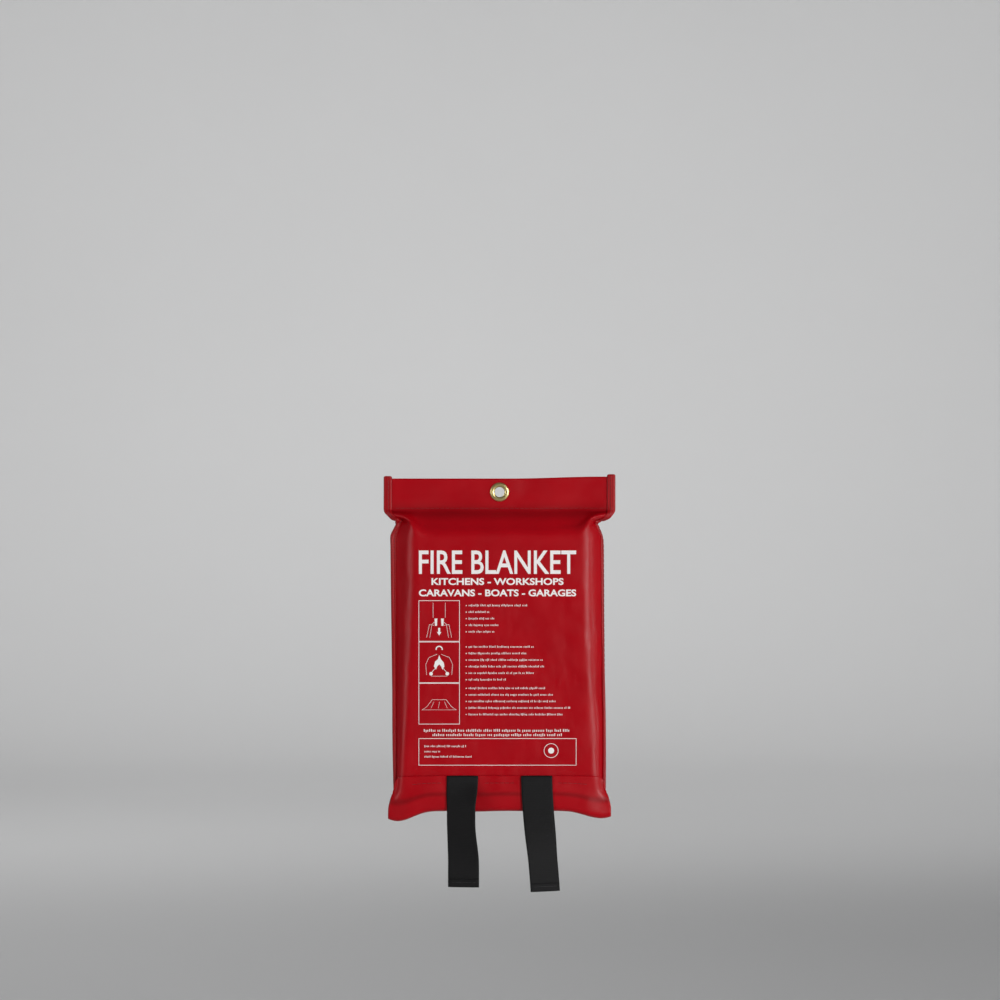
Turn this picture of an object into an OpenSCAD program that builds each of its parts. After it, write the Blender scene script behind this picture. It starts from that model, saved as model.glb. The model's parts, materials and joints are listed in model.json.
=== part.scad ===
// Fire blanket in a soft hanging pouch.
// Two coated-fabric panels are taped together at the sides, a flap from the back closes the
// mouth over the front, and two webbing straps sewn to the folded blanket hang out over it.
// Origin: centre of the hanging eyelet, in the plane where the two panels meet.
// +X is to the right seen from the front, +Y goes back into the wall, +Z is up.

/* [Header] */
// Width of the flat header panel, without its edge tape
header_w = 184.8; // [172:0.2:240]
// Height of the header's top edge above the eyelet's centre
header_top = 12.4; // [10:0.2:30]
// Depth of the closing seam below the eyelet's centre
header_seam = 15.2; // [12:0.2:30]

/* [Pouch] */
// Height from the header's top edge down to the bottom crease
pouch_h = 268; // [240:1:340]
// Width of the filled pouch across its side seams, without the edge tape
body_w = 168.8; // [140:0.2:172]
// Flat seam margin beside the filled part
seam_margin = 6.4; // [6:0.1:10]
// How far the front swells forward from the seam plane
front_depth = 16; // [12:0.5:26]
// How far the back swells behind the seam plane
back_depth = 9; // [6:0.5:14]
// Corner radius of the front swell
front_r = 11; // [5:0.5:11]
// Height over which the header swells out into the body
neck_h = 18; // [14:1:60]
// Height over which the side edges run in from the header to the body
shoulder_h = 16; // [10:1:40]
// Thickness of the coated fabric
wall = 0.8; // [0.6:0.1:1.2]

/* [Edge tape and thread] */
// How far the folded tape reaches in from the edge
tape_w = 5; // [3:0.5:5.5]
// Thickness of the tape
tape_t = 0.6; // [0.4:0.1:1]
// How far the tape's top ends stand above the header
tape_end = 2; // [0:0.5:5]
// Distance from one stitch to the next
stitch_pitch = 5; // [3.5:0.5:8]
// Length of one stitch
stitch_len = 3; // [1.5:0.5:3]
// Width and height of the thread where it lies on a surface
thread = 0.4; // [0.3:0.1:0.6]

/* [Flap] */
// Height of the flap over the front, from the bottom crease to its free edge
flap_h = 29; // [25:1:60]
// Width of the flap
flap_w = 168; // [140:1:172]
// Radius of the flap's two free corners
flap_r = 10; // [2:1:20]
// Height of the front panel's lower edge above the bottom crease
mouth_rise = 18; // [12:1:20]
// Height of the hook and loop strips that hold the flap shut
grip_h = 8; // [5:0.5:9]
// Thickness of one strip
grip_t = 0.85; // [0.6:0.05:0.85]
// Depth of the strips' seam below the flap's free edge
flap_seam = 6; // [3:0.5:9]

/* [Pull straps] */
// Width of the webbing
strap_w = 25; // [15:1:38]
// Thickness of the webbing
strap_t = 1.2; // [0.8:0.1:1.2]
// Distance between the two straps' centre lines
strap_gap = 59.2; // [40:0.2:80]
// Hanging length of the left strap
strap_left_len = 89; // [60:1:140]
// Hanging length of the right strap
strap_right_len = 92; // [60:1:140]
// Length of the hem folded back at each free end
strap_hem = 6; // [4:0.5:12]
// Length of webbing sewn flat to the blanket
anchor_len = 27; // [20:1:60]

/* [Blanket] */
// Free room between the pack and the pouch's sides and back
pack_room = 1; // [0.6:0.1:4]
// Free room above the pack
pack_top_room = 8; // [1:0.5:20]
// Free room between the pack and the bottom of the pouch
pack_bottom_room = 3; // [2:0.5:10]

/* [Eyelet] */
// Diameter of the hole that a hook or nail goes through
eyelet_bore = 8; // [6:0.5:12]
// Diameter of the eyelet's front flange and back washer
eyelet_flange = 15.4; // [13:0.2:20]
// Wall thickness of the eyelet's barrel
eyelet_wall = 0.6; // [0.4:0.1:0.9]
// How far the rolled flange stands above the fabric
eyelet_lip = 1.4; // [1:0.1:2]

/* [Hidden] */

$fn = 64;
eps = 0.01;
corner_steps = 8;       // chords in a quarter circle of the swelled sections
edge_steps = 10;        // chords along the shoulder curve
beyond = 10;            // how far a cutter reaches past what it cuts
seam_clear = 2;         // from the header's row of stitches to the crease and to the tapes
anchor_low = 3;         // from the front panel's edge up to the straps' sewn squares
anchor_rim = 2.5;       // webbing left beside a sewn square
row_end = 1;            // webbing left at the ends of a row of stitches
hem_row = 1.5;          // from a hem's cut edge down to its stitches
sew_gap = 0.3;          // free room between layers that move on each other
eyelet_clear = 0.1;     // round the eyelet's barrel in the panels
grip_margin = 1.5;      // from the flap's free edge to its hook strips
grip_side = 4;          // from a strap, or the flap's end, to a hook strip
seam_inset = 2.4;       // from the tape's inner edge to its stitches

seam_z = -header_seam;
neck_z = seam_z - neck_h;
bottom_z = header_top - pouch_h;
mouth_z = bottom_z + mouth_rise;
flap_top_z = bottom_z + flap_h;
bulge_w = body_w - 2 * seam_margin;
back_r = min(front_r, back_depth - 2);

// Layers at the mouth, from the front panel out to the hanging straps, as Y values
front_out = -front_depth;
leg_y = front_out - sew_gap - strap_t / 2;
flap_in = min(leg_y - strap_t / 2 - sew_gap, front_out - 2 * grip_t - 0.1);
flap_out = flap_in - wall;
tail_y = flap_out - sew_gap - strap_t / 2;

// The folded pack fills the pouch, less its free room and the webbing that lies on its front
pack_front = front_out + wall + strap_t + 2 * sew_gap;
pack_back = back_depth - wall - pack_room;
pack_w = bulge_w - 2 * wall - 2 * pack_room;
pack_top_z = neck_z - pack_top_room;
pack_bottom_z = bottom_z + wall + pack_bottom_room;
anchor_y = pack_front - strap_t / 2;

// The strap turns under the front panel's edge and then over the flap's free edge
under_y = (anchor_y + leg_y) / 2;
under_r = (anchor_y - leg_y) / 2;
under_z = mouth_z - sew_gap - (under_r - strap_t / 2);
over_y = (leg_y + tail_y) / 2;
over_r = (leg_y - tail_y) / 2;
over_z = flap_top_z + sew_gap + strap_t / 2;
swing_z = over_z - sew_gap - strap_t / 2;

// ---- outlines ----

// Half the panels' width at a height, easing in at the shoulder
function shoulder(z) = min(1, max(0, (seam_z - z) / shoulder_h));
function half_w(z) = (header_w + (body_w - header_w) * (1 - cos(180 * shoulder(z))) / 2) / 2;
function edge_heights(top, low) = concat(
    [top],
    [for (i = [0 : edge_steps]) seam_z - shoulder_h * i / edge_steps],
    [low]
);

// Outline of a panel, grown outwards by a margin
module panel_outline(top, low, grow = 0) {
    heights = edge_heights(top, low);
    count = len(heights);
    polygon(concat(
        [for (z = heights) [half_w(z) + grow, z]],
        [for (i = [count - 1 : -1 : 0]) [-half_w(heights[i]) - grow, heights[i]]]
    ));
}

// Lays a flat X-Z outline into a plate between two Y values, the first the nearer the front
module plate(front, back) {
    translate([0, back, 0]) rotate([90, 0, 0]) linear_extrude(back - front) children();
}

// Section of one swelled side, from the seam plane (y = 0) forward to its depth, with round corners
function swell_points(w, d, r) = concat(
    [[-w / 2, 0]],
    [for (i = [0 : corner_steps]) let (a = 180 + 90 * i / corner_steps)
        [-w / 2 + r + r * cos(a), -d + r + r * sin(a)]],
    [for (i = [0 : corner_steps]) let (a = 270 + 90 * i / corner_steps)
        [w / 2 - r + r * cos(a), -d + r + r * sin(a)]],
    [[w / 2, 0]]
);

// The swelled body and the neck that narrows to the seam, as one closed form
module swell(w, d, r, low) {
    translate([0, 0, low]) linear_extrude(neck_z - low) polygon(swell_points(w, d, r));
    hull() {
        translate([0, 0, neck_z]) linear_extrude(eps) polygon(swell_points(w, d, r));
        translate([-w / 2, -wall, seam_z - eps]) cube([w, wall, eps]);
    }
}

module swell_inside(w, d, r, low) {
    translate([0, 0, low - 1])
        linear_extrude(neck_z - low + 1)
            polygon(swell_points(w - 2 * wall, d - wall, r - wall));
    hull() {
        translate([0, 0, neck_z])
            linear_extrude(eps)
                polygon(swell_points(w - 2 * wall, d - wall, r - wall));
        translate([-w / 2 + wall, -eps, seam_z - 3 * wall]) cube([w - 2 * wall, eps, eps]);
    }
}

// A panel as it lies in front of the seam plane, with its eyelet hole
module panel(d, r, low) {
    difference() {
        union() {
            plate(-wall, 0) panel_outline(header_top, low);
            swell(bulge_w, d, r, low);
        }
        swell_inside(bulge_w, d, r, low);
        rotate([90, 0, 0])
            cylinder(h = 4 * wall, r = eyelet_bore / 2 + eyelet_wall + eyelet_clear, center = true);
    }
}

// One stitch lying along X, resting on z = 0
module stitch() {
    translate([-stitch_len / 2, -thread / 2, 0]) cube([stitch_len, thread, thread]);
}

// A stitch on a surface that faces the front or the back, running across or up
module front_stitch(x, y, z, upright = false) {
    translate([x, y, z]) rotate([90, 0, 0]) rotate([0, 0, upright ? 90 : 0]) stitch();
}

module back_stitch(x, y, z, upright = false) {
    translate([x, y, z]) rotate([-90, 0, 0]) rotate([0, 0, upright ? 90 : 0]) stitch();
}

// Even places for stitches between two ends
function places(low, high) = let (count = floor((high - low - stitch_len) / stitch_pitch))
    [for (i = [0 : count]) (low + high - count * stitch_pitch) / 2 + i * stitch_pitch];

// ---- pouch ----

module back_panel() {
    color("firebrick") mirror([0, 1, 0]) panel(back_depth, back_r, bottom_z + wall);
}

module front_panel() {
    color("crimson") panel(front_depth, front_r, mouth_z);
}

// Tape folded round one side edge; side is -1 for left and 1 for right
module side_tape(side) {
    color("darkred")
        difference() {
            intersection() {
                plate(-wall - tape_t, wall + tape_t)
                    difference() {
                        panel_outline(header_top + tape_end, mouth_z, tape_t);
                        panel_outline(header_top + tape_end + beyond, mouth_z - beyond, -tape_w);
                    }
                translate([side > 0 ? 0 : -header_w, -beyond, -pouch_h])
                    cube([header_w, 2 * beyond, 2 * pouch_h]);
            }
            plate(-wall, wall) panel_outline(header_top, mouth_z - beyond);
        }
}

module tape_stitches(side) {
    color("indianred")
        for (z = places(mouth_z + row_end, header_top))
            let (x = side * (half_w(z) - seam_inset)) {
                front_stitch(x, -wall - tape_t, z, true);
                back_stitch(x, wall + tape_t, z, true);
            }
}

module header_seam_stitches() {
    z = seam_z + seam_clear;
    reach = header_w / 2 - tape_w - seam_clear;
    color("indianred")
        for (x = places(-reach, reach)) {
            front_stitch(x, -wall, z);
            back_stitch(x, wall, z);
        }
}

// Section of the eyelet: a barrel through both panels, a round-edged flange in front and a
// narrow rim set over the washer behind
module eyelet_section() {
    bore = eyelet_bore / 2;
    roll = eyelet_lip / 2;
    inner = bore + roll;
    outer = eyelet_flange / 2 - roll;
    back = wall + tape_t + eyelet_wall;
    translate([bore, -back]) square([eyelet_wall, back + wall + roll]);
    translate([bore, -back]) square([2 * eyelet_wall, eyelet_wall]);
    translate([inner, wall]) square([outer - inner, eyelet_lip]);
    for (r = [inner, outer]) translate([r, wall + roll]) circle(roll);
}

module eyelet() {
    color("gold") rotate([90, 0, 0]) rotate_extrude() eyelet_section();
}

// Flat ring that the barrel is set over behind the back panel
module eyelet_washer() {
    inner = eyelet_bore / 2 + eyelet_wall;
    color("gold")
        rotate([-90, 0, 0])
            translate([0, 0, wall])
                difference() {
                    cylinder(h = tape_t, r = eyelet_flange / 2);
                    translate([0, 0, -1]) cylinder(h = tape_t + 2, r = inner);
                }
}

// The three stretches beside and between the straps, as [start, end] along X
function grip_stretches() = let (
    inner = strap_gap / 2 - strap_w / 2 - grip_side,
    outer = strap_gap / 2 + strap_w / 2 + grip_side,
    reach = flap_w / 2 - flap_r - grip_side
) [[-reach, -outer], [-inner, inner], [outer, reach]];

module grip_row(front) {
    for (s = grip_stretches())
        translate([s[0], front, flap_top_z - grip_margin - grip_h])
            cube([s[1] - s[0], grip_t, grip_h]);
}

module loop_strips() {
    color("maroon") grip_row(front_out - grip_t);
}

// ---- flap ----

module bottom_gusset() {
    color("brown")
        translate([-flap_w / 2, flap_in, bottom_z])
            cube([flap_w, back_depth - flap_in, wall]);
}

module closure_flap() {
    color("red")
        plate(flap_out, flap_in)
            union() {
                translate([-flap_w / 2, bottom_z]) square([flap_w, flap_h - flap_r]);
                translate([-flap_w / 2 + flap_r, bottom_z]) square([flap_w - 2 * flap_r, flap_h]);
                for (side = [-1, 1])
                    translate([side * (flap_w / 2 - flap_r), flap_top_z - flap_r]) circle(flap_r);
            }
}

module hook_strips() {
    color("maroon") grip_row(flap_in);
}

module flap_stitches() {
    color("indianred")
        for (s = grip_stretches())
            for (x = places(s[0], s[1])) front_stitch(x, flap_out, flap_top_z - flap_seam);
}

// ---- blanket and straps ----

module folded_blanket() {
    color("whitesmoke")
        translate([0, 0, pack_bottom_z])
            linear_extrude(pack_top_z - pack_bottom_z)
                polygon(concat(
                    swell_points(pack_w, -pack_front, front_r - wall),
                    [for (p = swell_points(pack_w, pack_back, back_r - wall)) -p]
                ));
}

// Upper or lower half of a ring in the webbing's thickness, in the Y-Z plane
module half_turn(y, z, r, upper) {
    difference() {
        translate([y, z]) circle(r + strap_t / 2);
        translate([y, z]) circle(r - strap_t / 2);
        translate([y - 2 * r - strap_t, upper ? z - 4 * r - 2 * strap_t : z])
            square([4 * r + 2 * strap_t, 4 * r + 2 * strap_t]);
    }
}

// A straight run of webbing between two heights
module run(y, low, high) {
    translate([y - strap_t / 2, low]) square([strap_t, high - low]);
}

// Webbing from where it is sewn to the pack, under the panel's edge and over the flap's edge
module strap_root(x) {
    color("black") translate([x - strap_w / 2, 0, 0])
        rotate([90, 0, 90])
            linear_extrude(strap_w) {
                run(anchor_y, under_z, mouth_z + anchor_len);
                half_turn(under_y, under_z, under_r, false);
                run(leg_y, under_z, over_z);
                half_turn(over_y, over_z, over_r, true);
            }
}

// The free end that hangs in front of the flap, with its hem folded back
module strap_tail(x, length) {
    color("black") translate([x - strap_w / 2, 0, 0])
        rotate([90, 0, 90])
            linear_extrude(strap_w) {
                translate([tail_y, swing_z - strap_t / 2]) circle(strap_t / 2);
                run(tail_y, swing_z - length, swing_z - strap_t / 2);
                run(tail_y - strap_t, swing_z - length, swing_z - length + strap_hem);
            }
}

// A sewn square on the webbing's front where it joins the pack
module anchor_stitches(x) {
    low = mouth_z + anchor_low;
    side = min(strap_w, anchor_len) - 2 * anchor_rim;
    y = anchor_y - strap_t / 2;
    mid = low + side / 2;
    color("dimgray") {
        for (u = places(-side / 2, side / 2)) {
            front_stitch(x + u, y, low);
            front_stitch(x + u, y, low + side);
        }
        for (u = places(row_end - side / 2, side / 2 - row_end))
            for (edge = [-1, 1]) front_stitch(x + edge * side / 2, y, mid + u, true);
    }
}

module hem_stitches(x, length) {
    y = tail_y - 1.5 * strap_t;
    z = swing_z - length + strap_hem - hem_row;
    color("dimgray")
        for (u = places(row_end - strap_w / 2, strap_w / 2 - row_end)) front_stitch(x + u, y, z);
}

back_panel();
front_panel();
side_tape(-1);  // side_tape_left
side_tape(1);  // side_tape_right
tape_stitches(-1);  // tape_stitches_left
tape_stitches(1);  // tape_stitches_right
header_seam_stitches();
eyelet();
eyelet_washer();
loop_strips();
bottom_gusset();
closure_flap();
hook_strips();
flap_stitches();
folded_blanket();
strap_root(-strap_gap / 2);  // strap_root_left
strap_root(strap_gap / 2);  // strap_root_right
anchor_stitches(-strap_gap / 2);  // anchor_stitches_left
anchor_stitches(strap_gap / 2);  // anchor_stitches_right
strap_tail(-strap_gap / 2, strap_left_len);  // strap_tail_left
strap_tail(strap_gap / 2, strap_right_len);  // strap_tail_right
hem_stitches(-strap_gap / 2, strap_left_len);  // strap_hem_stitches_left
hem_stitches(strap_gap / 2, strap_right_len);  // strap_hem_stitches_right
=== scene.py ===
"""Fire blanket in a red hanging pouch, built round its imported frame.

The file is laid out as an add-on and run as a script. Each operator makes one piece, or a group of
like pieces, in metres, in the frame's own axes: +X right, +Y back into the wall, +Z up, with the
origin in the middle of the hanging eyelet.
"""

import json
import math

import bmesh
import bpy
import numpy as np
from mathutils import Matrix, Vector


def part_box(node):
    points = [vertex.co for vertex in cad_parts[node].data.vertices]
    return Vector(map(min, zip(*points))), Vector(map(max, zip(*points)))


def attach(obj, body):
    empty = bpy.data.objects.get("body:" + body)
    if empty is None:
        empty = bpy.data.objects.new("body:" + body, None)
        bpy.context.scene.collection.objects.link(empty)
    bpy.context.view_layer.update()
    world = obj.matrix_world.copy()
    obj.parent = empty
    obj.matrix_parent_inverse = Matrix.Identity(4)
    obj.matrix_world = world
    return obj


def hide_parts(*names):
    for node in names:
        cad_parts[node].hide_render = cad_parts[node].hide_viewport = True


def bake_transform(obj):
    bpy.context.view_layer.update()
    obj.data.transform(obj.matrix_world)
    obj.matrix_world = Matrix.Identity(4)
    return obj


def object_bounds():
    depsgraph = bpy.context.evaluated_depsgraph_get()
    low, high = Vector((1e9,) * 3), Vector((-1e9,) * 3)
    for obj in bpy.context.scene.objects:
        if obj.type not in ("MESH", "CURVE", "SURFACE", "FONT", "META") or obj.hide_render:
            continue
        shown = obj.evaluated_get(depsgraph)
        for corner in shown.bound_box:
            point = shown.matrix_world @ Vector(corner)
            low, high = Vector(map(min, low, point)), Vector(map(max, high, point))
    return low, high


bl_info = {
    "name": "Fire Blanket Pouch",
    "version": (1, 0, 0),
    "blender": (4, 5, 0),
    "location": "View3D > Sidebar > Fire Blanket",
    "description": "Builds a folded fire blanket in its hanging pouch",
    "category": "Add Mesh",
}

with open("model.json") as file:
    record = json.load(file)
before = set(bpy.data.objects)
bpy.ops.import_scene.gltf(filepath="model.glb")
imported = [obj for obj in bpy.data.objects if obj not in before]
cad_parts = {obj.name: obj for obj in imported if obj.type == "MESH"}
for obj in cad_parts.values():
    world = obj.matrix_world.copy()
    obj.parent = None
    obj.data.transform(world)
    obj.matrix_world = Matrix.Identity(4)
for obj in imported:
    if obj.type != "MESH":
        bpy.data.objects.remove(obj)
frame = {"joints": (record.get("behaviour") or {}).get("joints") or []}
CAD_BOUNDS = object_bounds()

MM = 0.001

# Places read from the frame
FRONT_LO, FRONT_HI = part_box("front_panel")
BACK_LO, BACK_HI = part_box("back_panel")
FLAP_LO, FLAP_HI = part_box("closure_flap")
GUSSET_LO, GUSSET_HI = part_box("bottom_gusset")
PACK_LO, PACK_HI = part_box("folded_blanket")
EYELET_LO, EYELET_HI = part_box("eyelet")
SEAM_LO, SEAM_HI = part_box("header_seam_stitches")
TAPE_LO, TAPE_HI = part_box("side_tape_right")
HOOK_LO, HOOK_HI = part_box("hook_strips")
STITCH_LO, STITCH_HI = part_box("flap_stitches")
HINGES = {j["name"]: j for j in frame["joints"]}

# What the operators hand on to each other: the finished surfaces, by name
SURFACES = {}


# ---------------------------------------------------------------- colours and nodes


def linear(hex_colour):
    """An sRGB hex colour as linear red, green and blue."""
    channels = [int(hex_colour[i : i + 2], 16) / 255 for i in (1, 3, 5)]
    return tuple(c / 12.92 if c <= 0.04045 else ((c + 0.055) / 1.055) ** 2.4 for c in channels)


def add_node(tree, kind, inputs=None, **settings):
    """Adds a node with its settings. inputs maps a socket to a value or to another node's output."""
    made = tree.nodes.new(kind)
    for name, value in settings.items():
        setattr(made, name, value)
    for socket, value in (inputs or {}).items():
        if isinstance(value, bpy.types.NodeSocket):
            tree.links.new(value, made.inputs[socket])
        else:
            made.inputs[socket].default_value = value
    return made


def new_material(name, colour, roughness, metallic=0.0, ior=1.5):
    """A material with a principled shader; returns it, its tree and the shader."""
    made = bpy.data.materials.new(name)
    made.use_nodes = True
    tree = made.node_tree
    shader = tree.nodes["Principled BSDF"]
    shader.inputs["Base Color"].default_value = (*colour, 1)
    shader.inputs["Roughness"].default_value = roughness
    shader.inputs["Metallic"].default_value = metallic
    if not metallic:
        shader.inputs["IOR"].default_value = ior
    made.diffuse_color = (*colour, 1)
    return made, tree, shader


def flat_place(tree):
    """Coordinates on the cloth as it was cut, in metres, from the map that the mesh builders write."""
    return add_node(tree, "ShaderNodeUVMap", uv_map="cloth").outputs["UV"]


def object_place(tree):
    """Coordinates in the object's own space, in metres."""
    return add_node(tree, "ShaderNodeTexCoord").outputs["Object"]


def bands(tree, place, pitch, direction, distortion=0.0):
    """Soft parallel ridges a pitch apart. The wave texture's period is 2 pi / 20 at scale 1."""
    scale = 2 * math.pi / 20 / pitch
    return add_node(
        tree,
        "ShaderNodeTexWave",
        {"Vector": place, "Scale": scale, "Distortion": distortion},
        wave_type="BANDS",
        bands_direction=direction,
        wave_profile="SIN",
    ).outputs["Fac"]


def plain_weave(tree, place, pitch):
    """Height of a plain weave: warp shows in one half of the checks and weft in the other."""
    warp = bands(tree, place, pitch, "X")
    weft = bands(tree, place, pitch, "Y")
    checks = add_node(tree, "ShaderNodeTexChecker", {"Vector": place, "Scale": 1 / pitch})
    return add_node(
        tree,
        "ShaderNodeMix",
        {"Factor": checks.outputs["Fac"], 2: warp, 3: weft},
        data_type="FLOAT",
    ).outputs["Result"]


def noise(tree, place, size, detail=2.0, roughness=0.5):
    """Noise whose features are about size across."""
    return add_node(
        tree,
        "ShaderNodeTexNoise",
        {"Vector": place, "Scale": 1 / size, "Detail": detail, "Roughness": roughness},
    ).outputs["Fac"]


def rescale(tree, value, low, high, at_low=0.0, at_high=1.0):
    """Maps a value from one range to another."""
    return add_node(
        tree,
        "ShaderNodeMapRange",
        {
            "Value": value,
            "From Min": low,
            "From Max": high,
            "To Min": at_low,
            "To Max": at_high,
        },
    ).outputs["Result"]


def two_colours(tree, factor, first, second):
    """Mixes two colours."""
    mix = add_node(tree, "ShaderNodeMix", {"Factor": factor}, data_type="RGBA")
    mix.inputs[6].default_value = (*first, 1)
    mix.inputs[7].default_value = (*second, 1)
    return mix.outputs[2]


def bump(tree, height, depth, strength=1.0, below=None):
    """A bump of that depth in metres, over another one if below is given."""
    inputs = {"Height": height, "Distance": depth, "Strength": strength}
    if below is not None:
        inputs["Normal"] = below
    return add_node(tree, "ShaderNodeBump", inputs).outputs["Normal"]


def darker(colour, share):
    """The colour with its brightness cut to a share."""
    return tuple(c * share for c in colour)


# ---------------------------------------------------------------- materials


def coated_fabric(name, colour, crease, reach):
    """Polyester scrim calendered in soft PVC: a smooth half-gloss skin that shows the scrim faintly.
    Its colour carries painted shade: darker near a crease, at that place down the flat cloth, as shade falls in
    the fold."""
    made, tree, shader = new_material(name, colour, 0.34, ior=1.53)
    shader.inputs["Specular IOR Level"].default_value = 0.18
    place = flat_place(tree)
    # the scrim's threads stand 0.9 mm apart under the coating and barely print through it
    scrim = plain_weave(tree, place, 0.9 * MM)
    # the calender leaves a fine leathery grain, drawn at 0.6 mm so that it can show
    grain = noise(tree, place, 0.6 * MM, 3.0)
    cloudy = noise(tree, place, 34 * MM, 3.0)
    handled = noise(tree, object_place(tree), 11 * MM, 4.0)
    # painted shade: pressed cuts the colour to 68 % at the crease's place down the flat cloth and lets it come
    # back over the reach either side
    down = add_node(tree, "ShaderNodeSeparateXYZ", {0: place}).outputs["Y"]
    away = add_node(tree, "ShaderNodeMath", {0: down, 1: crease}, operation="SUBTRACT").outputs[0]
    away = add_node(tree, "ShaderNodeMath", {0: away}, operation="ABSOLUTE").outputs[0]
    pressed = add_node(
        tree,
        "ShaderNodeMapRange",
        {"Value": away, "From Min": 0.0, "From Max": reach, "To Min": 0.68, "To Max": 1.0},
        interpolation_type="SMOOTHSTEP",
    ).outputs["Result"]
    shade = add_node(
        tree, "ShaderNodeMath", {0: rescale(tree, cloudy, 0.35, 0.65, 0.92, 1.0), 1: pressed},
        operation="MULTIPLY",
    ).outputs[0]
    tree.links.new(
        two_colours(tree, shade, darker(colour, 0.0), colour), shader.inputs["Base Color"]
    )
    tree.links.new(
        rescale(tree, handled, 0.3, 0.7, 0.28, 0.40), shader.inputs["Roughness"]
    )
    under = bump(tree, scrim, 0.03 * MM, 0.5)
    tree.links.new(bump(tree, grain, 0.02 * MM, 0.35, under), shader.inputs["Normal"])
    return made


def ribbed_tape(name, colour, roughness, across, along, depth):
    """Narrow woven tape: weft ribs run across it, and the warp ends show as finer lines along it."""
    made, tree, shader = new_material(name, colour, roughness, ior=1.55)
    place = flat_place(tree)
    ribs = bands(tree, place, across, "Y", 0.15)
    ends = bands(tree, place, along, "X", 0.1)
    height = add_node(tree, "ShaderNodeMath", {0: ribs, 1: ends}, operation="MULTIPLY").outputs[0]
    fuzz = noise(tree, place, 0.35 * MM, 4.0, 0.7)
    worn = noise(tree, place, 18 * MM, 3.0)
    shade = add_node(
        tree, "ShaderNodeMath", {0: height, 1: rescale(tree, worn, 0.3, 0.7, 0.6, 1.0)},
        operation="MULTIPLY",
    ).outputs[0]
    # painted light and shade: rib tops lighter and valleys darker after the weave's height; the worn noise adds
    # tone that differs at random
    tree.links.new(
        two_colours(tree, shade, darker(colour, 0.6), tuple(min(1, c * 1.25) for c in colour)),
        shader.inputs["Base Color"],
    )
    tree.links.new(
        rescale(tree, fuzz, 0.2, 0.8, roughness - 0.08, roughness + 0.1),
        shader.inputs["Roughness"],
    )
    under = bump(tree, height, depth, 0.9)
    tree.links.new(bump(tree, fuzz, depth * 0.3, 0.5, under), shader.inputs["Normal"])
    shader.inputs["Specular IOR Level"].default_value = 0.25
    return made


def sewing_thread(name, colour):
    """Twisted polyester thread: two plies wound round each other, drawn as short slanting bands of painted glint
    and painted shade.
    """
    made, tree, shader = new_material(name, colour, 0.5, ior=1.55)
    place = object_place(tree)
    # the plies turn every 0.5 mm
    twist = add_node(
        tree,
        "ShaderNodeTexWave",
        {"Vector": place, "Scale": 2 * math.pi / 20 / (0.5 * MM)},
        wave_type="BANDS",
        bands_direction="DIAGONAL",
    ).outputs["Fac"]
    # painted light and shade: the colour is lighter on the plies and darker between them
    tree.links.new(
        two_colours(tree, twist, darker(colour, 0.5), colour), shader.inputs["Base Color"]
    )
    tree.links.new(bump(tree, twist, 0.06 * MM), shader.inputs["Normal"])
    return made


def pressed_brass(colour):
    """Thin brass pressed and rolled in a die: bright, with fine turned lines and a dull bloom."""
    made, tree, shader = new_material("brass_pressed_polished", colour, 0.22, metallic=1.0)
    place = object_place(tree)
    # polishing lines 0.25 mm apart run round the bore
    rings = add_node(
        tree,
        "ShaderNodeTexWave",
        {"Vector": place, "Scale": 2 * math.pi / 20 / (0.25 * MM), "Distortion": 1.5},
        wave_type="RINGS",
        rings_direction="Y",
    ).outputs["Fac"]
    bloom = noise(tree, place, 2.2 * MM, 5.0, 0.6)
    tree.links.new(
        two_colours(tree, rescale(tree, bloom, 0.35, 0.7), colour, darker(colour, 0.72)),
        shader.inputs["Base Color"],
    )
    tree.links.new(rescale(tree, bloom, 0.3, 0.7, 0.24, 0.42), shader.inputs["Roughness"])
    tree.links.new(bump(tree, rings, 0.01 * MM, 0.4), shader.inputs["Normal"])
    return made


def hook_and_loop(colour):
    """Nylon touch fastener: a dense matt pile with no clear highlight."""
    made, tree, shader = new_material("nylon_touch_fastener_woven", colour, 0.85, ior=1.53)
    place = object_place(tree)
    pile = add_node(
        tree, "ShaderNodeTexVoronoi", {"Vector": place, "Scale": 1 / (0.7 * MM)}
    ).outputs["Distance"]
    # painted light and shade: lighter on the tufts of pile and darker between them, after the distance that drives
    # the bump
    tree.links.new(
        two_colours(tree, pile, tuple(min(1, c * 1.4) for c in colour), darker(colour, 0.3)),
        shader.inputs["Base Color"],
    )
    tree.links.new(bump(tree, pile, -0.4 * MM), shader.inputs["Normal"])
    return made


def glass_cloth(colour):
    """Woven glass-fibre cloth: flat yarns in a plain weave, matt with a faint silky glint."""
    made, tree, shader = new_material("glass_fibre_cloth_woven", colour, 0.62, ior=1.52)
    place = flat_place(tree)
    # the yarns are 1.2 mm apart, as in a cloth of about 430 g/m2
    weave = plain_weave(tree, place, 1.2 * MM)
    slub = noise(tree, place, 9 * MM, 4.0)
    shade = add_node(
        tree, "ShaderNodeMath", {0: weave, 1: rescale(tree, slub, 0.3, 0.7, 0.75, 1.0)},
        operation="MULTIPLY",
    ).outputs[0]
    # painted shade: darker in the weave's valleys between the yarns; the slub adds tone that differs at random
    tree.links.new(
        two_colours(tree, shade, darker(colour, 0.62), colour), shader.inputs["Base Color"]
    )
    tree.links.new(bump(tree, weave, 0.15 * MM, 0.9), shader.inputs["Normal"])
    shader.inputs["Sheen Weight"].default_value = 0.15
    return made


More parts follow.
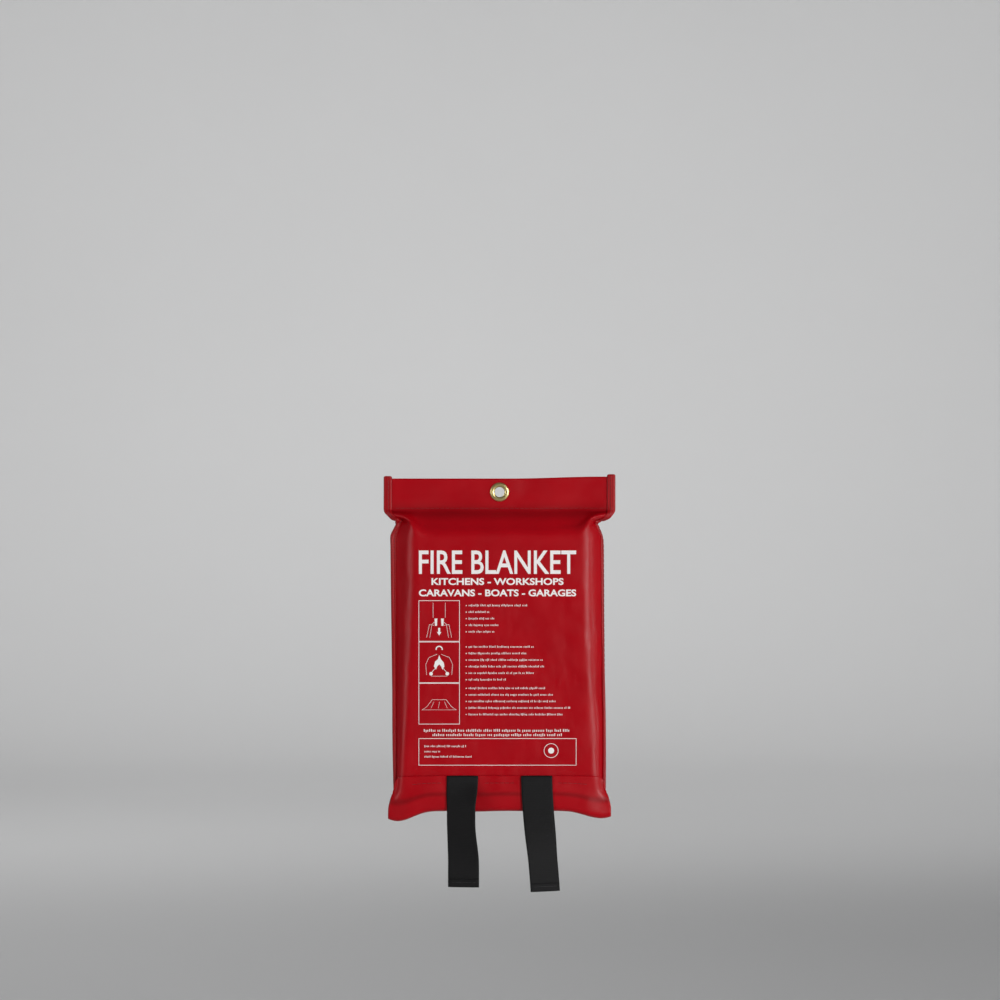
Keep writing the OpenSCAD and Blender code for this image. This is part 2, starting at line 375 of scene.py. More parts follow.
def screen_ink(colour):
    """Solvent ink screened on the coating: opaque white, a little duller than the vinyl."""
    made, tree, shader = new_material("vinyl_ink_screen_printed", colour, 0.5, ior=1.5)
    place = object_place(tree)
    # the mesh of the screen leaves the ink a touch thinner in spots
    spots = noise(tree, place, 0.8 * MM, 3.0, 0.6)
    tree.links.new(
        two_colours(tree, rescale(tree, spots, 0.62, 0.8), colour, (colour[0], colour[1] * 0.8, colour[2] * 0.82)),
        shader.inputs["Base Color"],
    )
    tree.links.new(rescale(tree, spots, 0.3, 0.7, 0.42, 0.56), shader.inputs["Roughness"])
    return made


def studio_paper(colour):
    """Matt studio paper for the floor and the sweep."""
    made, tree, shader = new_material("studio_paper_matt", colour, 0.9)
    fibre = noise(tree, object_place(tree), 0.5, 3.0)
    tree.links.new(
        two_colours(tree, fibre, darker(colour, 0.97), colour), shader.inputs["Base Color"]
    )
    return made


# ---------------------------------------------------------------- surfaces and meshes


def blur(grid, passes):
    """The grid of points with small bumps evened out, its rim kept."""
    for _ in range(passes):
        inner = (
            grid[:-2, 1:-1] + grid[2:, 1:-1] + grid[1:-1, :-2] + grid[1:-1, 2:]
        ) / 4
        grid = grid.copy()
        grid[1:-1, 1:-1] = (grid[1:-1, 1:-1] + inner) / 2
    return grid


def refine(grid, times, axis):
    """Points between the grid's points on a Catmull-Rom curve along one axis."""
    g = np.moveaxis(grid, axis, 0)
    p = np.concatenate([2 * g[:1] - g[1:2], g, 2 * g[-1:] - g[-2:-1]])
    out = []
    for i in range(len(g) - 1):
        a, b, c, d = p[i : i + 4]
        for k in range(times):
            t = k / times
            out.append(
                0.5
                * (
                    2 * b
                    + (c - a) * t
                    + (2 * a - 5 * b + 4 * c - d) * t * t
                    + (3 * b - a - 3 * c + d) * t * t * t
                )
            )
    out.append(g[-1])
    return np.moveaxis(np.array(out), 0, axis)


def smoothstep(x, low=0.0, high=1.0):
    t = np.clip((x - low) / (high - low), 0, 1)
    return t * t * (3 - 2 * t)


class Surface:
    """A sheet of cloth as a grid of points on its middle, with the place of each row and column on
    the flat cloth. Rows run down the cloth and columns to the right; outward is towards the normal."""

    def __init__(self, points, us, vs, outward):
        self.points, self.us, self.vs = points, np.asarray(us), np.asarray(vs)
        down = np.gradient(points, axis=0)
        right = np.gradient(points, axis=1)
        n = np.cross(down, right)
        n /= np.maximum(np.linalg.norm(n, axis=2, keepdims=True), 1e-12)
        self.normals = n if np.sum(n * np.asarray(outward)) > 0 else -n

    def _mix(self, values, u, v):
        j = np.interp(u, self.us, np.arange(len(self.us)))
        i = np.interp(-np.asarray(v), -self.vs, np.arange(len(self.vs)))
        j0 = np.minimum(j.astype(int), len(self.us) - 2)
        i0 = np.minimum(i.astype(int), len(self.vs) - 2)
        a, b = (i - i0)[..., None], (j - j0)[..., None]
        top = values[i0, j0] * (1 - b) + values[i0, j0 + 1] * b
        low = values[i0 + 1, j0] * (1 - b) + values[i0 + 1, j0 + 1] * b
        return top * (1 - a) + low * a

    def at(self, u, v, lift=0.0):
        """Points at places on the flat cloth, lifted outwards."""
        u, v = np.broadcast_arrays(np.asarray(u, float), np.asarray(v, float))
        n = self._mix(self.normals, u, v)
        n /= np.maximum(np.linalg.norm(n, axis=-1, keepdims=True), 1e-12)
        return self._mix(self.points, u, v) + n * lift

    def under(self, x, z):
        """Places on the flat cloth of the points that stand at x and z."""
        u, v = np.array(x, float), np.array(z, float)
        for _ in range(8):
            p = self.at(u, v)
            u += x - p[..., 0]
            v += z - p[..., 2]
        return u, v

    def v_at(self, z):
        """The place down the flat cloth whose middle column stands at a height."""
        column = self.points[:, len(self.us) // 2, 2]
        return float(np.interp(-z, -column, self.vs))


def new_object(name, points, faces, flat=None, smooth=True):
    """A mesh object. flat gives each point's place on the flat cloth, kept as the map "cloth"."""
    mesh = bpy.data.meshes.new(name)
    mesh.from_pydata([tuple(p) for p in points], [], [tuple(f) for f in faces])
    mesh.update()
    if flat is not None:
        layer = mesh.uv_layers.new(name="cloth")
        corners = np.array([loop.vertex_index for loop in mesh.loops])
        layer.uv.foreach_set("vector", np.asarray(flat, np.float32)[corners].ravel())
    if smooth:
        mesh.shade_smooth()
    made = bpy.data.objects.new(name, mesh)
    bpy.context.scene.collection.objects.link(made)
    return made


def finish_piece(piece, material, replaced=()):
    """Gives a piece its material and slot, and hides the frame's nodes that it stands for."""
    piece.data.materials.clear()
    piece.data.materials.append(material)
    if replaced:
        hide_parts(*replaced)
    return piece


def outward_faces(piece):
    """Turns every face of a closed mesh outwards."""
    work = bmesh.new()
    work.from_mesh(piece.data)
    bmesh.ops.recalc_face_normals(work, faces=work.faces)
    work.to_mesh(piece.data)
    work.free()


def cloth_shell(name, surface, thickness, keep=None, rows=None):
    """A closed shell of cloth round a surface. keep(point) is False where the cloth is cut away."""
    span = slice(None) if rows is None else rows
    mid, n = surface.points[span], surface.normals[span]
    vs = surface.vs[span]
    rows_n, cols = mid.shape[:2]
    outer, inner = mid + n * thickness / 2, mid - n * thickness / 2
    points = np.concatenate([outer.reshape(-1, 3), inner.reshape(-1, 3)])
    uu, vv = np.meshgrid(surface.us, vs)
    flat = np.stack([uu.ravel(), vv.ravel()], 1)
    flat = np.concatenate([flat, flat])
    under = rows_n * cols
    index = np.arange(under).reshape(rows_n, cols)
    faces, edges = [], {}
    for i in range(rows_n - 1):
        for j in range(cols - 1):
            if keep and not keep(mid[i : i + 2, j : j + 2].mean((0, 1))):
                continue
            quad = [index[i, j], index[i + 1, j], index[i + 1, j + 1], index[i, j + 1]]
            faces.append(quad)
            faces.append([q + under for q in reversed(quad)])
            for a, b in zip(quad, quad[1:] + quad[:1]):
                if (b, a) in edges:
                    del edges[(b, a)]
                else:
                    edges[(a, b)] = True
    faces += [[a, a + under, b + under, b] for a, b in edges]
    used = sorted({q for f in faces for q in f})
    renumber = {old: new for new, old in enumerate(used)}
    faces = [[renumber[q] for q in f] for f in faces]
    piece = new_object(name, points[used], faces, flat[used])
    outward_faces(piece)
    return piece


def swept(name, rings, closed_ends=True, flat=None):
    """A tube through rings of points, each ring closed on itself."""
    rings = np.asarray(rings)
    count, around = rings.shape[:2]
    faces = []
    for i in range(count - 1):
        for k in range(around):
            n = (k + 1) % around
            a, b = i * around, (i + 1) * around
            faces.append([a + k, b + k, b + n, a + n])
    if closed_ends:
        faces.append(list(range(around))[::-1])
        faces.append([(count - 1) * around + k for k in range(around)])
    piece = new_object(name, rings.reshape(-1, 3), faces, flat)
    outward_faces(piece)
    return piece


def capsules(name, ends, radius):
    """Short rounded rods between pairs of points, as lengths of thread, in one mesh."""
    sides, points, faces = 8, [], []
    # distance along the rod's end cap, and its radius there
    cap = [(0.0, 0.35), (0.45, 0.85), (1.0, 1.0)]
    for a, b in ends:
        a, b = Vector(a), Vector(b)
        along = (b - a).normalized()
        side = along.orthogonal().normalized()
        other = along.cross(side)
        base = len(points)
        stations = [(a + along * (d - 1) * radius, r * radius) for d, r in cap]
        stations += [(b - along * (d - 1) * radius, r * radius) for d, r in reversed(cap)]
        for centre, r in stations:
            for k in range(sides):
                t = 2 * math.pi * k / sides
                points.append(centre + (side * math.cos(t) + other * math.sin(t)) * r)
        for s in range(len(stations) - 1):
            for k in range(sides):
                n = (k + 1) % sides
                p, q = base + s * sides, base + (s + 1) * sides
                faces.append([p + k, p + n, q + n, q + k])
        faces.append([base + k for k in range(sides)][::-1])
        last = base + (len(stations) - 1) * sides
        faces.append([last + k for k in range(sides)])
    piece = new_object(name, points, faces)
    outward_faces(piece)
    return piece


def stitch_ends(line, pitch, length):
    """Pairs of points for stitches a pitch apart along a line of points."""
    line = np.asarray(line)
    run = np.concatenate([[0], np.cumsum(np.linalg.norm(np.diff(line, axis=0), axis=1))])
    count = int((run[-1] - length) / pitch) + 1
    first = (run[-1] - (count - 1) * pitch - length) / 2
    starts = first + pitch * np.arange(count)

    def place(s):
        return np.stack([np.interp(s, run, line[:, k]) for k in range(3)], 1)

    return list(zip(place(starts), place(starts + length)))


def slab_on(name, surface, u_range, v_range, lift, thickness, step=2 * MM):
    """A thin slab that lies on a surface, from its lift outwards."""
    us = np.linspace(*u_range, max(3, int(abs(u_range[1] - u_range[0]) / step)))
    vs = np.linspace(*v_range, max(3, int(abs(v_range[1] - v_range[0]) / step)))
    uu, vv = np.meshgrid(us, vs)
    middle = Surface(
        surface.at(uu, vv, lift + thickness / 2), us, vs, surface.normals.mean((0, 1))
    )
    return cloth_shell(name, middle, thickness)


def joined(name, parts):
    """One object made of several."""
    target = parts[0]
    target.name = target.data.name = name
    if len(parts) > 1:
        with bpy.context.temp_override(
            active_object=target, object=target, selected_editable_objects=parts
        ):
            bpy.ops.object.join()
    return target


# ---------------------------------------------------------------- the pouch by cloth simulation


def pack_form(lo, hi, radius, scale):
    """A closed block with round edges, scaled, which the simulated cloth fills out over."""
    work = bmesh.new()
    bmesh.ops.create_cube(work, size=1)
    for v in work.verts:
        v.co = Vector([(lo[k] + hi[k]) / 2 + v.co[k] * (hi[k] - lo[k]) for k in range(3)])
    bmesh.ops.bevel(
        work, geom=work.edges[:], offset=radius, segments=6, profile=0.5, affect="EDGES"
    )
    bmesh.ops.triangulate(work, faces=work.faces[:])
    mesh = bpy.data.meshes.new("filling_form")
    work.to_mesh(mesh)
    work.free()
    mesh.transform(Matrix.Scale(scale, 4))
    form = bpy.data.objects.new("filling_form", mesh)
    bpy.context.scene.collection.objects.link(form)
    return form


def guard_plane(y, scale):
    """A flat collider in front of or behind the pouch that keeps the cloth within its depth."""
    reach = 0.3 * scale
    corners = [(-reach, y, -reach), (reach, y, -reach), (reach, y, reach), (-reach, y, reach)]
    if y < 0:
        corners.reverse()
    mesh = bpy.data.meshes.new("guard")
    mesh.from_pydata(corners, [], [(0, 1, 2, 3)])
    plane = bpy.data.objects.new("guard", mesh)
    bpy.context.scene.collection.objects.link(plane)
    return plane


def make_collider(solid):
    solid.modifiers.new("collision", "COLLISION")
    solid.collision.thickness_outer = 0.002
    solid.collision.cloth_friction = 1.5
    solid.collision.use_culling = False


def simulate_pouch(settings):
    """Lays two flat panels on each other, sewn at their sides and held at the header, swells the
    folded pack between them and lets the cloth settle. Returns the surfaces of front and back.
    It runs at ten times real size, where the solver's smallest gaps are small enough."""
    scale = 10.0
    step = settings.cloth_step
    half = FRONT_HI.x
    gap = 0.45 * MM
    top = FRONT_HI.z
    columns = int(round(2 * half / step)) + 1
    us = np.linspace(-half, half, columns)
    rows_back = int(round((top - BACK_LO.z + settings.take_up) / step)) + 1
    vs = top - step * np.arange(rows_back)
    rows_front = int(round((top - FRONT_LO.z + settings.take_up) / step)) + 1
    sewn = max(1, int(round(settings.flange / step)))
    in_flange = [j < sewn or j >= columns - sewn for j in range(columns)]

    points = []
    front = np.zeros((rows_front, columns), int)
    back = np.zeros((rows_back, columns), int)
    for i in range(rows_back):
        for j in range(columns):
            shared = in_flange[j]
            if i < rows_front:
                front[i, j] = len(points)
                points.append((us[j], 0 if shared else -gap, vs[i]))
                if shared:
                    back[i, j] = front[i, j]
                    continue
            back[i, j] = len(points)
            points.append((us[j], 0 if shared else gap, vs[i]))
    faces = []
    for i in range(rows_front - 1):
        for j in range(columns - 1):
            faces.append((front[i, j], front[i + 1, j], front[i + 1, j + 1], front[i, j + 1]))
    for i in range(rows_back - 1):
        for j in range(columns - 1):
            quad = (back[i, j], back[i, j + 1], back[i + 1, j + 1], back[i + 1, j])
            if not (i < rows_front - 1 and in_flange[j] and in_flange[j + 1]):
                faces.append(quad)
    mesh = bpy.data.meshes.new("bag")
    mesh.from_pydata([tuple(np.array(p) * scale) for p in points], [], faces)
    bag = bpy.data.objects.new("bag", mesh)
    bpy.context.scene.collection.objects.link(bag)

    seam = SEAM_LO.z - 2 * MM
    held = bag.vertex_groups.new(name="held")
    stiff = bag.vertex_groups.new(name="stiff")
    for i in range(rows_back):
        for j in range(columns):
            both = [int(back[i, j])] + ([int(front[i, j])] if i < rows_front else [])
            if vs[i] >= seam - 0.1 * MM:
                held.add(both, 1.0, "REPLACE")
            if in_flange[j]:
                below_neck = float(smoothstep(-vs[i], 38 * MM, 62 * MM))
                stiff.add(both, below_neck, "REPLACE")

    wall = settings.fabric_thickness
    fill_lo = (PACK_LO.x - 0.6 * MM, FRONT_LO.y + wall, PACK_LO.z)
    fill_hi = (PACK_HI.x + 0.6 * MM, BACK_HI.y - wall, PACK_HI.z + 14 * MM)
    form = pack_form(fill_lo, fill_hi, settings.fill_radius, scale)
    guards = [guard_plane((BACK_HI.y + 0.6 * MM) * scale, scale)]
    guards.append(guard_plane((FRONT_LO.y - 1.1 * MM) * scale, scale))
    for solid in [form] + guards:
        make_collider(solid)
    grow = 25
    settle = 35
    form.scale = (0.96, 0.012, 1)
    form.keyframe_insert("scale", frame=1)
    form.scale = (1, 1, 1)
    form.keyframe_insert("scale", frame=grow)

    cloth = bag.modifiers.new("cloth", "CLOTH")
    fabric = cloth.settings
    fabric.quality = 8
    fabric.mass = 0.08
    fabric.tension_stiffness = fabric.compression_stiffness = 60
    fabric.shear_stiffness = 30
    fabric.bending_stiffness = 12
    fabric.vertex_group_bending = "stiff"
    fabric.bending_stiffness_max = 80
    fabric.tension_damping = fabric.compression_damping = fabric.shear_damping = 10
    fabric.bending_damping = 2
    fabric.air_damping = 3
    fabric.vertex_group_mass = "held"
    cloth.collision_settings.distance_min = 0.003
    cloth.collision_settings.collision_quality = 4
    cloth.collision_settings.use_self_collision = False
    cloth.point_cache.frame_end = grow + settle
    scene = bpy.context.scene
    for number in range(1, grow + settle + 1):
        scene.frame_set(number)
    evaluated = bag.evaluated_get(bpy.context.evaluated_depsgraph_get())
    settled = np.array([v.co for v in evaluated.data.vertices]) / scale
    scene.frame_set(1)
    for spare in [bag, form] + guards:
        data = spare.data
        bpy.data.objects.remove(spare)
        bpy.data.meshes.remove(data)

    below = vs < -62 * MM
    for j in [k for k in range(columns) if k < sewn + 1 or k >= columns - sewn - 1]:
        for index in {tuple(front[below[:rows_front], j]), tuple(back[below, j])}:
            line = settled[list(index)]
            for _ in range(30):
                line[1:-1, :2] = (line[:-2, :2] + 2 * line[1:-1, :2] + line[2:, :2]) / 4
            settled[list(index)] = line
    settled = draw_in_neck(settled, settings)
    # on the sewn margin the two panels lie on each other, half a gap either side of the middle
    margin = np.array([1.0 if f else 0.0 for f in in_flange])[None, :, None]
    middle = Surface(settled[front], us, vs[:rows_front], (0, -1, 0))
    front_points = settled[front] + middle.normals * gap * margin
    middle_back = Surface(settled[back], us, vs, (0, 1, 0))
    back_points = settled[back] + middle_back.normals * gap * margin
    fine = 2

    def fine_surface(grid, rows, outward):
        grid = refine(refine(blur(grid, 2), fine, 0), fine, 1)
        return Surface(
            grid, refine(us, fine, 0), refine(rows, fine, 0), outward
        )

    return (
        fine_surface(front_points, vs[:rows_front], (0, -1, 0)),
        fine_surface(back_points, vs, (0, 1, 0)),
    )


def draw_in_neck(points, settings):
    """Draws the sides of the settled cloth up and in just under the header, where the margin is
    gathered between header and pack, and gives the header its small dents and lifted corners."""
    p = points.copy()
    x, y, z = points.T
    side = smoothstep(abs(x), 58 * MM, 80 * MM)
    seam = SEAM_LO.z - 2 * MM
    gathered = np.interp(
        -z, [-seam, 46 * MM, 96 * MM], [-seam, settings.pinch_drop, 96 * MM]
    )
    near = (z < seam) & (z > -96 * MM)
    p[:, 2] = np.where(near, z + (-gathered - z) * side, z)
    rim = smoothstep(abs(x), 66 * MM, 84 * MM)
    pinch = np.exp(-(((p[:, 2] + settings.pinch_drop) / (5.5 * MM)) ** 2))
    p[:, 0] -= np.sign(x) * settings.pinch_depth * pinch * rim
    # header: shallow dents come and go along it, none near the eyelet
    header = smoothstep(z, seam, seam + 4 * MM)
    away = smoothstep(abs(x), 9 * MM, 22 * MM)
    dent = np.sin(x * 58 + 0.7) * np.sin((z + 0.004) * 130) + 0.6 * np.sin(x * 121 - z * 60)
    groove = np.exp(-(((z + 11 * MM + 1.2 * MM * np.sin(x * 40)) / (2.6 * MM)) ** 2))
    p[:, 1] += header * away * 0.45 * MM * dent + header * 0.8 * MM * groove * (1 - rim)
    crease = np.exp(-(((z - seam + 0.8 * MM * np.sin(x * 70)) / (1.6 * MM)) ** 2))
    p[:, 1] += 0.9 * MM * crease * (1 - rim) * (y < 2 * MM)
    lifted = smoothstep(x, 10 * MM, 80 * MM) - 1
    p[:, 2] += 1.5 * MM * lifted * smoothstep(z, -6 * MM, FRONT_HI.z)
    return p


def clear_of_eyelet(point):
    """False inside the hole that the eyelet's barrel goes through."""
    return math.hypot(point[0], point[2]) > 5.6 * MM


# ---------------------------------------------------------------- the flap's shape


def flap_profile(settings):
    """Line of the flap from inside the back panel's edge, under the pack and up the front, as
    (y, z) points."""
    back_y = BACK_HI.y - settings.fabric_thickness * 1.6
    front_y = (FLAP_LO.y + FLAP_HI.y) / 2
    low = GUSSET_LO.z + settings.fabric_thickness / 2
    r_back, r_front = 2.6 * MM, 4.6 * MM
    points = [(back_y, low + 7 * MM), (back_y, low + 4.5 * MM)]
    for k in range(7):
        a = math.radians(90 * k / 6)
        points.append((back_y - r_back + r_back * math.cos(a), low + r_back - r_back * math.sin(a)))
    for k in range(1, 12):
        t = k / 12
        y = back_y - r_back + t * (front_y + r_front - back_y + r_back)
        points.append((y, low - 0.7 * MM * math.sin(math.pi * t)))
    for k in range(9):
        a = math.radians(90 * k / 8)
        points.append(
            (front_y + r_front - r_front * math.sin(a), low + r_front - r_front * math.cos(a))
        )
    rise = FLAP_HI.z - (low + r_front)
    for k in range(1, 17):
        t = k / 16
        points.append((front_y - 0.5 * MM * math.sin(math.pi * t), low + r_front + rise * t))
    return np.array(points)


def flap_surface(settings):
    """The flap as one sheet: columns across, rows along its profile from the back to its free edge."""
    profile = flap_profile(settings)
    run = np.concatenate([[0], np.cumsum(np.linalg.norm(np.diff(profile, axis=0), axis=1))])
    fine = np.linspace(0, run[-1], 64)
    py, pz = np.interp(fine, run, profile[:, 0]), np.interp(fine, run, profile[:, 1])
    half = FLAP_HI.x
    xs = np.linspace(-half, half, 113)
    corner = settings.flap_corner
    front_y = (FLAP_LO.y + FLAP_HI.y) / 2
    grid = np.zeros((len(fine), len(xs), 3))
    share = fine / run[-1]
    front_crease = int(np.argmax(py <= front_y + 0.002 * MM))
    crease = share[front_crease]
    back, front = SURFACES["back"], SURFACES["front"]
    wall = settings.fabric_thickness
    fold = FLAP_HI.z - 6 * MM
    face_y = front.at(*front.under(0.0, fold))[1]
    # how strongly the corners droop and flare: none at the back crease, most at the front crease
    loose = smoothstep(share, 0.1, crease * 0.9) * (1 - smoothstep(share, crease + 0.02, 1.0) * 0.92)
    up = smoothstep(share, crease, 1.0)
    for j, x in enumerate(xs):
        side = abs(x) / half
        past = max(0.0, abs(x) - (half - corner))
        cut = corner - math.sqrt(max(0.0, corner * corner - past * past))
        droop = settings.droop_left if x < 0 else settings.droop_right
        sag = droop * math.exp(-(((abs(x) - half * 0.93) / (13 * MM)) ** 2))
        flare = 5.2 * MM * smoothstep(side, 0.72, 1.0)
        lap = 3.4 * MM * smoothstep(side, 0.8, 1.0)
        wave = math.sin(x * 61) * 0.35 + math.sin(x * 143 + 1.3) * 0.25
        dent = 0.6 * MM * math.sin(x * 97 + 0.8) * math.sin(x * 31)
        grid[:, j, 0] = x + math.copysign(1, x) * flare * loose
        grid[:, j, 1] = py + loose * lap + (up * (1 - up) * 4) * dent
        grid[:, j, 2] = pz - sag * loose - cut * up**1.5 + wave * 0.7 * MM * loose
        # its back edge is the back panel's own lower edge
        sewn = back.at(x / half * FRONT_HI.x * 0.99, back.vs[-1] + 5 * MM, -wall * 1.15)
        grid[:, j] += np.outer(1 - smoothstep(share, 0.0, crease * 0.7), sewn - grid[0, j])
        # its free edge bends back with the pouch's rounded side
        near_x = math.copysign(min(abs(x), 81 * MM), x)
        turn = front.at(*front.under(near_x, fold))[1] - face_y
        grid[:, j, 1] += np.clip(turn, 0, 7 * MM) * smoothstep(up, 0.25, 0.8)
    return Surface(grid, xs, -fine, (0, -1, -0.3))


# ---------------------------------------------------------------- the straps' shape


def arc(cy, cz, r, start, end, count):
    """Points on an arc in the Y-Z plane, angles in degrees from +Y towards +Z."""
    return [
        (cy + r * math.cos(math.radians(a)), cz + r * math.sin(math.radians(a)))
        for a in np.linspace(start, end, count)
    ]


def root_line(root_lo, root_hi, tail_hi, thickness):
    """Middle line of a strap from where it is sewn to the pack, down, under the front panel's
    edge, up behind the flap and to the top of its turn over the flap's free edge."""
    anchor = root_hi.y - thickness / 2
    leg = HINGE_Y + 2 * OVER_R
    under_r = (anchor - leg) / 2
    under_z = root_lo.z + thickness / 2 + under_r
    over_z = tail_hi.z - thickness / 2 - OVER_R
    line = [(anchor, z) for z in np.linspace(FRONT_LO.z + 27 * MM, under_z, 10)]
    line += arc((anchor + leg) / 2, under_z, under_r, 0, -180, 12)[1:]
    line += [(leg, z) for z in np.linspace(under_z, over_z, 8)[1:]]
    line += arc((leg + HINGE_Y) / 2, over_z, OVER_R, 0, 90, 7)[1:]
    return line


def tail_line(tail_hi, tail_lo, thickness):
    """Middle line of a strap from the top of its turn down to its end, where it is folded back
    in front as a hem."""
    over_z = tail_hi.z - thickness / 2 - OVER_R
    fold_r = thickness * 0.54
    low = tail_lo.z + thickness / 2 + fold_r
    line = arc(HINGE_Y + OVER_R, over_z, OVER_R, 90, 180, 7)
    line += [(HINGE_Y, z) for z in np.linspace(over_z, low, 60)[1:]]
    line += arc(HINGE_Y - fold_r, low, fold_r, 0, -180, 9)[1:]
    line += [(HINGE_Y - 2 * fold_r, z) for z in np.linspace(low, low + 5.4 * MM, 5)[1:]]
    return line


HINGE_Y = HINGES["strap_left_swing"]["pos_m"][1]
OVER_R = 1.3 * MM


def webbing(name, line, centre, width, thickness, shape):
    """A flat strap along a line in the Y-Z plane. shape(z) gives its sideways shift, its turn
    about the vertical and its forward shift at a height."""
    line = np.array(line)
    run = np.concatenate([[0], np.cumsum(np.linalg.norm(np.diff(line, axis=0), axis=1))])
    tangent = np.gradient(line, axis=0)
    tangent /= np.linalg.norm(tangent, axis=1)[:, None]
    normal = np.stack([tangent[:, 1], -tangent[:, 0]], 1)
    # section: flat faces with rounded selvedges, and a slight crown across the width
    across = np.linspace(-1, 1, 15)
    crown = 0.5 - 0.12 * across**6
    face = [(a * width / 2, h * thickness) for a, h in zip(across, crown)]
    section = face + [(a, -h) for a, h in reversed(face)]
    rings, flat = [], []
    for (y, z), (ny, nz), s in zip(line, normal, run):
        shift, turn, forward = shape(z)
        ring = []
        for a, h in section:
            px = a * math.cos(turn)
            py = a * math.sin(turn)
            ring.append((centre + shift + px, y + ny * h + py + forward, z + nz * h))
            flat.append((a, s))
        rings.append(ring)
    return swept(name, rings, flat=flat)


# ---------------------------------------------------------------- printing


def flat_strip(line, width, closed=False):
    """A strip of even width along flat points, with mitred corners."""
    line = [Vector(p) for p in line]
    count = len(line)
    left, right = [], []
    for k, p in enumerate(line):
        before = line[k - 1] if (k > 0 or closed) else None
        after = line[(k + 1) % count] if (k < count - 1 or closed) else None
        a = (p - before).normalized() if before is not None else None
        b = (after - p).normalized() if after is not None else None
        a, b = a or b, b or a
        n = Vector((-(a + b).y, (a + b).x))
        n = n.normalized() if n.length > 1e-9 else Vector((-a.y, a.x))
        reach = width / 2 / max(0.4, n.dot(Vector((-a.y, a.x))))
        left.append(p + n * reach)
        right.append(p - n * reach)
    steps = count if closed else count - 1
    points = left + right
    return points, [
        [k, count + k, count + (k + 1) % count, (k + 1) % count] for k in range(steps)
    ]


def circle_points(centre, radius, start=0, end=360, count=20):
    return [
        (
            centre[0] + radius * math.cos(math.radians(a)),
            centre[1] + radius * math.sin(math.radians(a)),
        )
        for a in np.linspace(start, end, count)
    ]


class PrintSheet:
    """Collects flat shapes in metres on the front panel and lays them on it as thin ink."""

    def __init__(self):
        self.points, self.faces = [], []

    def shape(self, points, faces):
        base = len(self.points)
        self.points += [tuple(p) for p in points]
        self.faces += [[base + k for k in f] for f in faces]

    def bar(self, left, right, low, high):
        corners = [(left, low), (right, low), (right, high), (left, high)]
        self.shape(corners, [[0, 1, 2, 3]])

    def line(self, line, width, closed=False):
        self.shape(*flat_strip(line, width, closed))

    def area(self, outline):
        self.shape(outline, [list(range(len(outline)))])

    def frame(self, left, right, low, high, width):
        self.line([(left, low), (right, low), (right, high), (left, high)], width, True)

    def words(self, text, left, right, low, high, weight):
        """Plain capitals from the built-in font, made bolder by the weight and fitted to a box."""
        curve = bpy.data.curves.new("words", "FONT")
        curve.body = text
        curve.space_character = 1.0
        curve.resolution_u = 4
        curve.offset = weight
        letters = bpy.data.objects.new("words", curve)
        mesh = letters.to_mesh()
        co = np.array([v.co[:2] for v in mesh.vertices])
        faces = [list(p.vertices) for p in mesh.polygons]
        letters.to_mesh_clear()
        bpy.data.objects.remove(letters)
        bpy.data.curves.remove(curve)
        size = co.max(0) - co.min(0)
        co = (co - co.min(0)) / size * (right - left, high - low) + (left, low)
        self.shape(co, faces)

    def lay(self, name, surface, lift, thickness):
        """Cuts the shapes into short stretches and lays them on the surface."""
        work = bmesh.new()
        made = [work.verts.new((p[0], 0, p[1])) for p in self.points]
        for f in self.faces:
            work.faces.new([made[k] for k in f])
        bmesh.ops.remove_doubles(work, verts=work.verts, dist=1e-7)
        lows = [min(v.co[k] for v in work.verts) for k in (0, 2)]
        highs = [max(v.co[k] for v in work.verts) for k in (0, 2)]
        step = 4 * MM
        for axis, low, high in zip((0, 2), lows, highs):
            normal = Vector((1, 0, 0)) if axis == 0 else Vector((0, 0, 1))
            for cut in np.arange(low + step, high, step):
                bmesh.ops.bisect_plane(
                    work,
                    geom=work.verts[:] + work.edges[:] + work.faces[:],
                    plane_co=normal * cut,
                    plane_no=normal,
                )
        flat = np.array([(v.co.x, v.co.z) for v in work.verts])
        on = surface.at(*surface.under(flat[:, 0], flat[:, 1]), lift)
        for v, p in zip(work.verts, on):
            v.co = p
        mesh = bpy.data.meshes.new(name)
        work.to_mesh(mesh)
        work.free()
        layer = mesh.uv_layers.new(name="cloth")
        for loop in mesh.loops:
            layer.uv[loop.index].vector = flat[loop.vertex_index]
        piece = bpy.data.objects.new(name, mesh)
        bpy.context.scene.collection.objects.link(piece)
        thick = piece.modifiers.new("ink_thickness", "SOLIDIFY")
        thick.thickness = thickness
        thick.offset = 0
        return piece


# ---------------------------------------------------------------- settings


def length(name, default, description, low=0.0, high=10.0):
    return bpy.props.FloatProperty(
        name=name, default=default, description=description, min=low, max=high, unit="LENGTH",
        precision=5,
    )


def colour(name, hex_colour, description):
    return bpy.props.FloatVectorProperty(
        name=name, default=linear(hex_colour), description=description, subtype="COLOR",
        size=3, min=0, max=1,
    )


